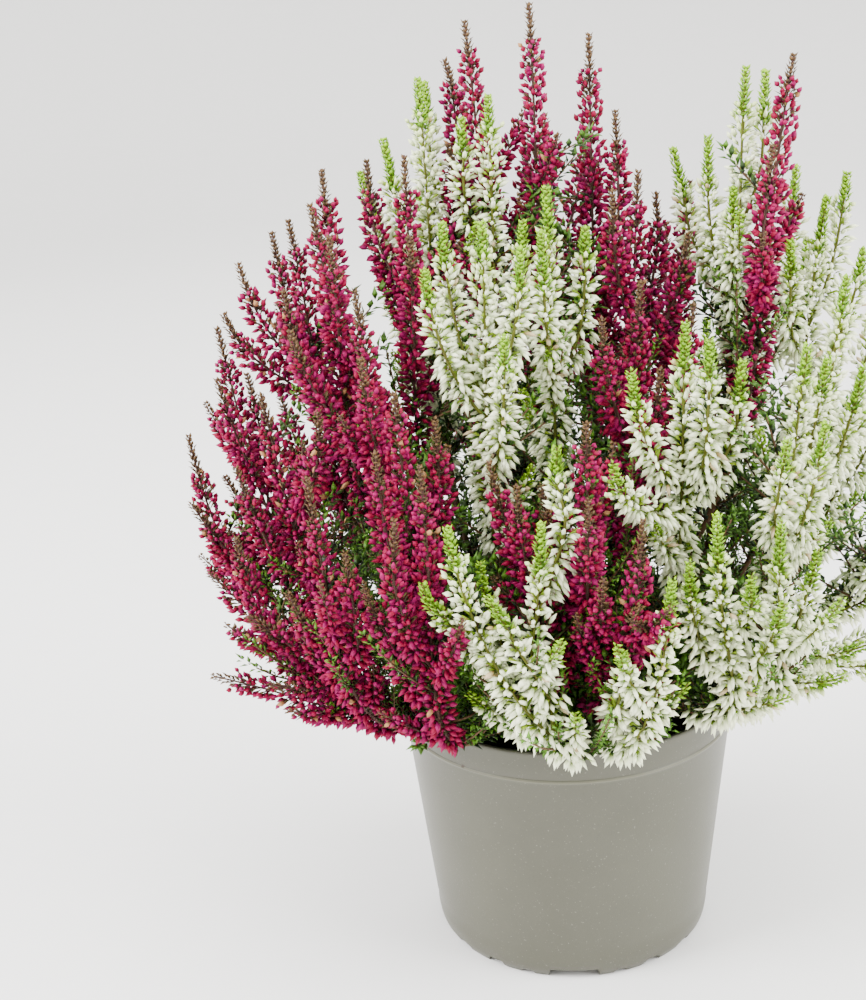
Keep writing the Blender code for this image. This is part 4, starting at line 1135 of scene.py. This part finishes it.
class HEATHER_OT_peat(bpy.types.Operator):
    """Make the peat: a filled body whose top is a sum of waves, with loose crumbs on it"""

    bl_idname = "heather.make_peat"
    bl_label = "Peat"

    def execute(self, context):
        draw = np.random.default_rng(SEED + 2)
        bunch = Bunch()
        edge = wall_radius(SOIL_EDGE) - WALL - GAP
        foot = wall_radius(BASE_HEIGHT) - WALL - GAP
        floor = FLOOR_ABOVE + GAP
        low = [(0.8, floor), (FOOT_RADIUS - FOOT_THICKNESS - 2.2, floor), (foot, SOIL_FOOT)]
        low += [(foot + (edge - foot) * t, SOIL_FOOT + (SOIL_EDGE - 2.0 - SOIL_FOOT) * t)
                for t in np.linspace(0.1, 1, 8)]
        rings = [(radius, SOIL_EDGE) for radius in np.linspace(edge - 0.6, 0.8, 44)]
        points = turned(np.array(low + rings), 120)
        top = points[len(low):]
        top[..., 2] = peat_height(top[..., 0], top[..., 1])
        hubs = [[0, 0, floor], [0, 0, peat_height(0.0, 0.0)]]
        faces = closed_grid(len(points), 120)
        points = np.concatenate([points.reshape(-1, 3), hubs])
        bunch.add(points, faces, 0, np.full(len(points), 0.4), 0.5, 0.5)
        count = options("pot").crumbs
        radius = (edge - 3.5) * np.sqrt(draw.random(count))
        turn = draw.uniform(0, FULL_TURN, count)
        x, y = radius * np.cos(turn), radius * np.sin(turn)
        size = 0.7 + 2.6 * draw.random(count) ** 3
        base = np.stack([x, y, peat_height(x, y) - 0.25 * size], 1)
        heading = unit(draw.normal(0, 1, (count, 3)) + [0, 0, 0.8])
        bunch.copies(CRUMB, 0, base, heading, 1.7 * size, size * draw.uniform(0.5, 0.9, count),
                     size * draw.uniform(0.4, 0.8, count), draw.random(count), draw.random(count))
        bunch.finish("potting_soil_fine", [peat_material()], "potting_soil", "potting_soil")
        return {"FINISHED"}


class HEATHER_OT_crimson(bpy.types.Operator):
    """Make the crimson sprays"""

    bl_idname = "heather.make_crimson_sprays"
    bl_label = "Crimson sprays"

    def execute(self, context):
        make_sprays("crimson")
        return {"FINISHED"}


class HEATHER_OT_white(bpy.types.Operator):
    """Make the white sprays"""

    bl_idname = "heather.make_white_sprays"
    bl_label = "White sprays"

    def execute(self, context):
        make_sprays("white")
        return {"FINISHED"}


class HEATHER_OT_stems(bpy.types.Operator):
    """Make each plant's trunk, branches and leafy shoots"""

    bl_idname = "heather.make_leafy_stems"
    bl_label = "Leafy stems"

    def execute(self, context):
        mains, flowering, _, _ = place_axes()
        for order, (plant, (x, y)) in enumerate(PLANTS.items()):
            draw = np.random.default_rng(SEED + 10 + order)
            bunch = Bunch()
            trunk = np.array([(x, y, height) for height, _ in TRUNK])
            upright = trunk, None, np.array([[1.0, 0, 0]]), np.array([[0, 1.0, 0]])
            bunch.tube(SLOT_BARK, upright, [radius for _, radius in TRUNK], 14, 0.4, 0.2)
            for index, spray in enumerate(SPRAYS):
                if spray[0] == plant:
                    path = Path(mains[index])
                    end = path.total - flowering[index] - GAP
                    stations = np.linspace(0.4, end, max(6, int(end / 5)))
                    radii = np.append(np.linspace(1.25, 0.95, len(stations)), 0.6)
                    seats = path.at(np.append(stations, end + 6.0))
                    bunch.tube(SLOT_BARK, seats, radii, 6, 0.5, 0.4)
                    add_shoots(bunch, path, end, draw)
                    add_filling(bunch, path, end, draw)
            add_low_shoots(bunch, x, y, draw)
            node = plant + "_stems"
            bunch.finish(node + "_fine", foliage_materials(), node, "leafy_stems")
        return {"FINISHED"}


def put_in_scene(name, data, right, up, back, place):
    """Put a lamp or camera into the scene, which looks away from its back."""
    thing = bpy.data.objects.new(name, data)
    columns = np.stack([right, up, back, place], 1)
    thing.matrix_world = Matrix([*columns.tolist(), [0, 0, 0, 1]])
    bpy.context.scene.collection.objects.link(thing)
    return thing


def light(name, place, power, size):
    """A square area light that faces the middle of the plant."""
    data = bpy.data.lights.new(name, "AREA")
    data.energy = power
    data.size = size
    back = unit(np.array(place) - np.array([0.0, 0.0, 0.17]))
    right = unit(np.cross([0, 0, 1.0], back))
    put_in_scene(name, data, right, np.cross(back, right), back, place)


def camera():
    """The camera looks along +Y, turned by its yaw, pitched down and rolled."""
    data = bpy.data.cameras.new("photo_camera")
    data.lens = CAMERA_LENS
    data.sensor_width = 36.0
    data.clip_start = 0.01
    pitch, roll, yaw = (math.radians(CAMERA_ANGLES[name]) for name in ("pitch", "roll", "yaw"))
    ahead = np.array([math.sin(yaw) * math.cos(pitch), math.cos(yaw) * math.cos(pitch),
                      -math.sin(pitch)])
    level = np.array([math.cos(yaw), -math.sin(yaw), 0.0])
    above = np.cross(level, ahead)
    right = level * math.cos(roll) - above * math.sin(roll)
    up = level * math.sin(roll) + above * math.cos(roll)
    place = (0.0, -CAMERA_BACK, CAMERA_HEIGHT)
    thing = put_in_scene("photo_camera", data, right, up, -ahead, place)
    bpy.context.scene.camera = thing


class HEATHER_OT_stage(bpy.types.Operator):
    """Make the pale floor, the lights and the camera"""

    bl_idname = "heather.make_stage"
    bl_label = "Stage"

    def execute(self, context):
        stage = options("stage")
        flat, curve = 1.6, 2.6
        radius = np.concatenate([np.linspace(0.2, flat, 8), np.linspace(1.8, flat + curve, 18)])
        rise = curve * np.sin(np.clip((radius - flat) / curve, 0, 1) * math.pi / 2) ** 2
        ground = turned(np.stack([radius, rise], 1), 96).reshape(-1, 3)
        faces = np.concatenate([grid_faces(len(radius), 96)[:, ::-1], fan(0, 96, len(ground))])
        floor = mesh_object("studio_floor", np.concatenate([ground, [[0, 0, 0]]]), faces,
                            [floor_material()])
        floor.data.shade_smooth()
        light("key_light", (-1.3, -0.5, 1.05), stage.key_watts, 0.9)
        light("fill_light", (1.35, -0.4, 0.95), stage.fill_watts, 1.1)
        light("top_light", (0.0, -0.3, 1.5), stage.top_watts, 1.2)
        light("back_light", (0.3, 1.2, 1.2), 0.3 * stage.fill_watts, 1.0)
        world = context.scene.world or bpy.data.worlds.new("studio")
        context.scene.world = world
        world.use_nodes = True
        sky = world.node_tree.nodes["Background"]
        sky.inputs["Color"].default_value = (1.0, 0.985, 0.955, 1.0)
        sky.inputs["Strength"].default_value = stage.sky
        camera()
        return {"FINISHED"}


SETTINGS = {
    "heather_pot": HeatherPotSettings,
    "heather_florets": HeatherFloretSettings,
    "heather_leaves": HeatherLeafSettings,
    "heather_stage": HeatherStageSettings,
}
OPERATORS = (HEATHER_OT_pot, HEATHER_OT_peat, HEATHER_OT_crimson, HEATHER_OT_white,
             HEATHER_OT_stems, HEATHER_OT_stage)


class HEATHER_PT_panel(bpy.types.Panel):
    """Lists what can be made and its settings"""

    bl_idname = "HEATHER_PT_panel"
    bl_label = "Potted heather"
    bl_space_type = "VIEW_3D"
    bl_region_type = "UI"
    bl_category = "Heather"

    def draw(self, context):
        for settings in SETTINGS:
            box = self.layout.box()
            group = getattr(context.scene, settings)
            for name in group.bl_rna.properties.keys():
                if name not in ("rna_type", "name"):
                    box.prop(group, name)
        for operator in OPERATORS:
            self.layout.operator(operator.bl_idname)


def register():
    """Register the settings, the operators and the panel."""
    for name, group in SETTINGS.items():
        bpy.utils.register_class(group)
        setattr(bpy.types.Scene, name, PointerProperty(type=group))
    for kind in (*OPERATORS, HEATHER_PT_panel):
        bpy.utils.register_class(kind)


def unregister():
    """Take back what register did."""
    for kind in (HEATHER_PT_panel, *reversed(OPERATORS)):
        bpy.utils.unregister_class(kind)
    for name, group in SETTINGS.items():
        delattr(bpy.types.Scene, name)
        bpy.utils.unregister_class(group)


def main():
    register()
    bpy.ops.heather.make_pot()
    bpy.ops.heather.make_peat()
    bpy.ops.heather.make_crimson_sprays()
    bpy.ops.heather.make_white_sprays()
    bpy.ops.heather.make_leafy_stems()
    bpy.ops.heather.make_stage()


if __name__ == "__main__":
    main()
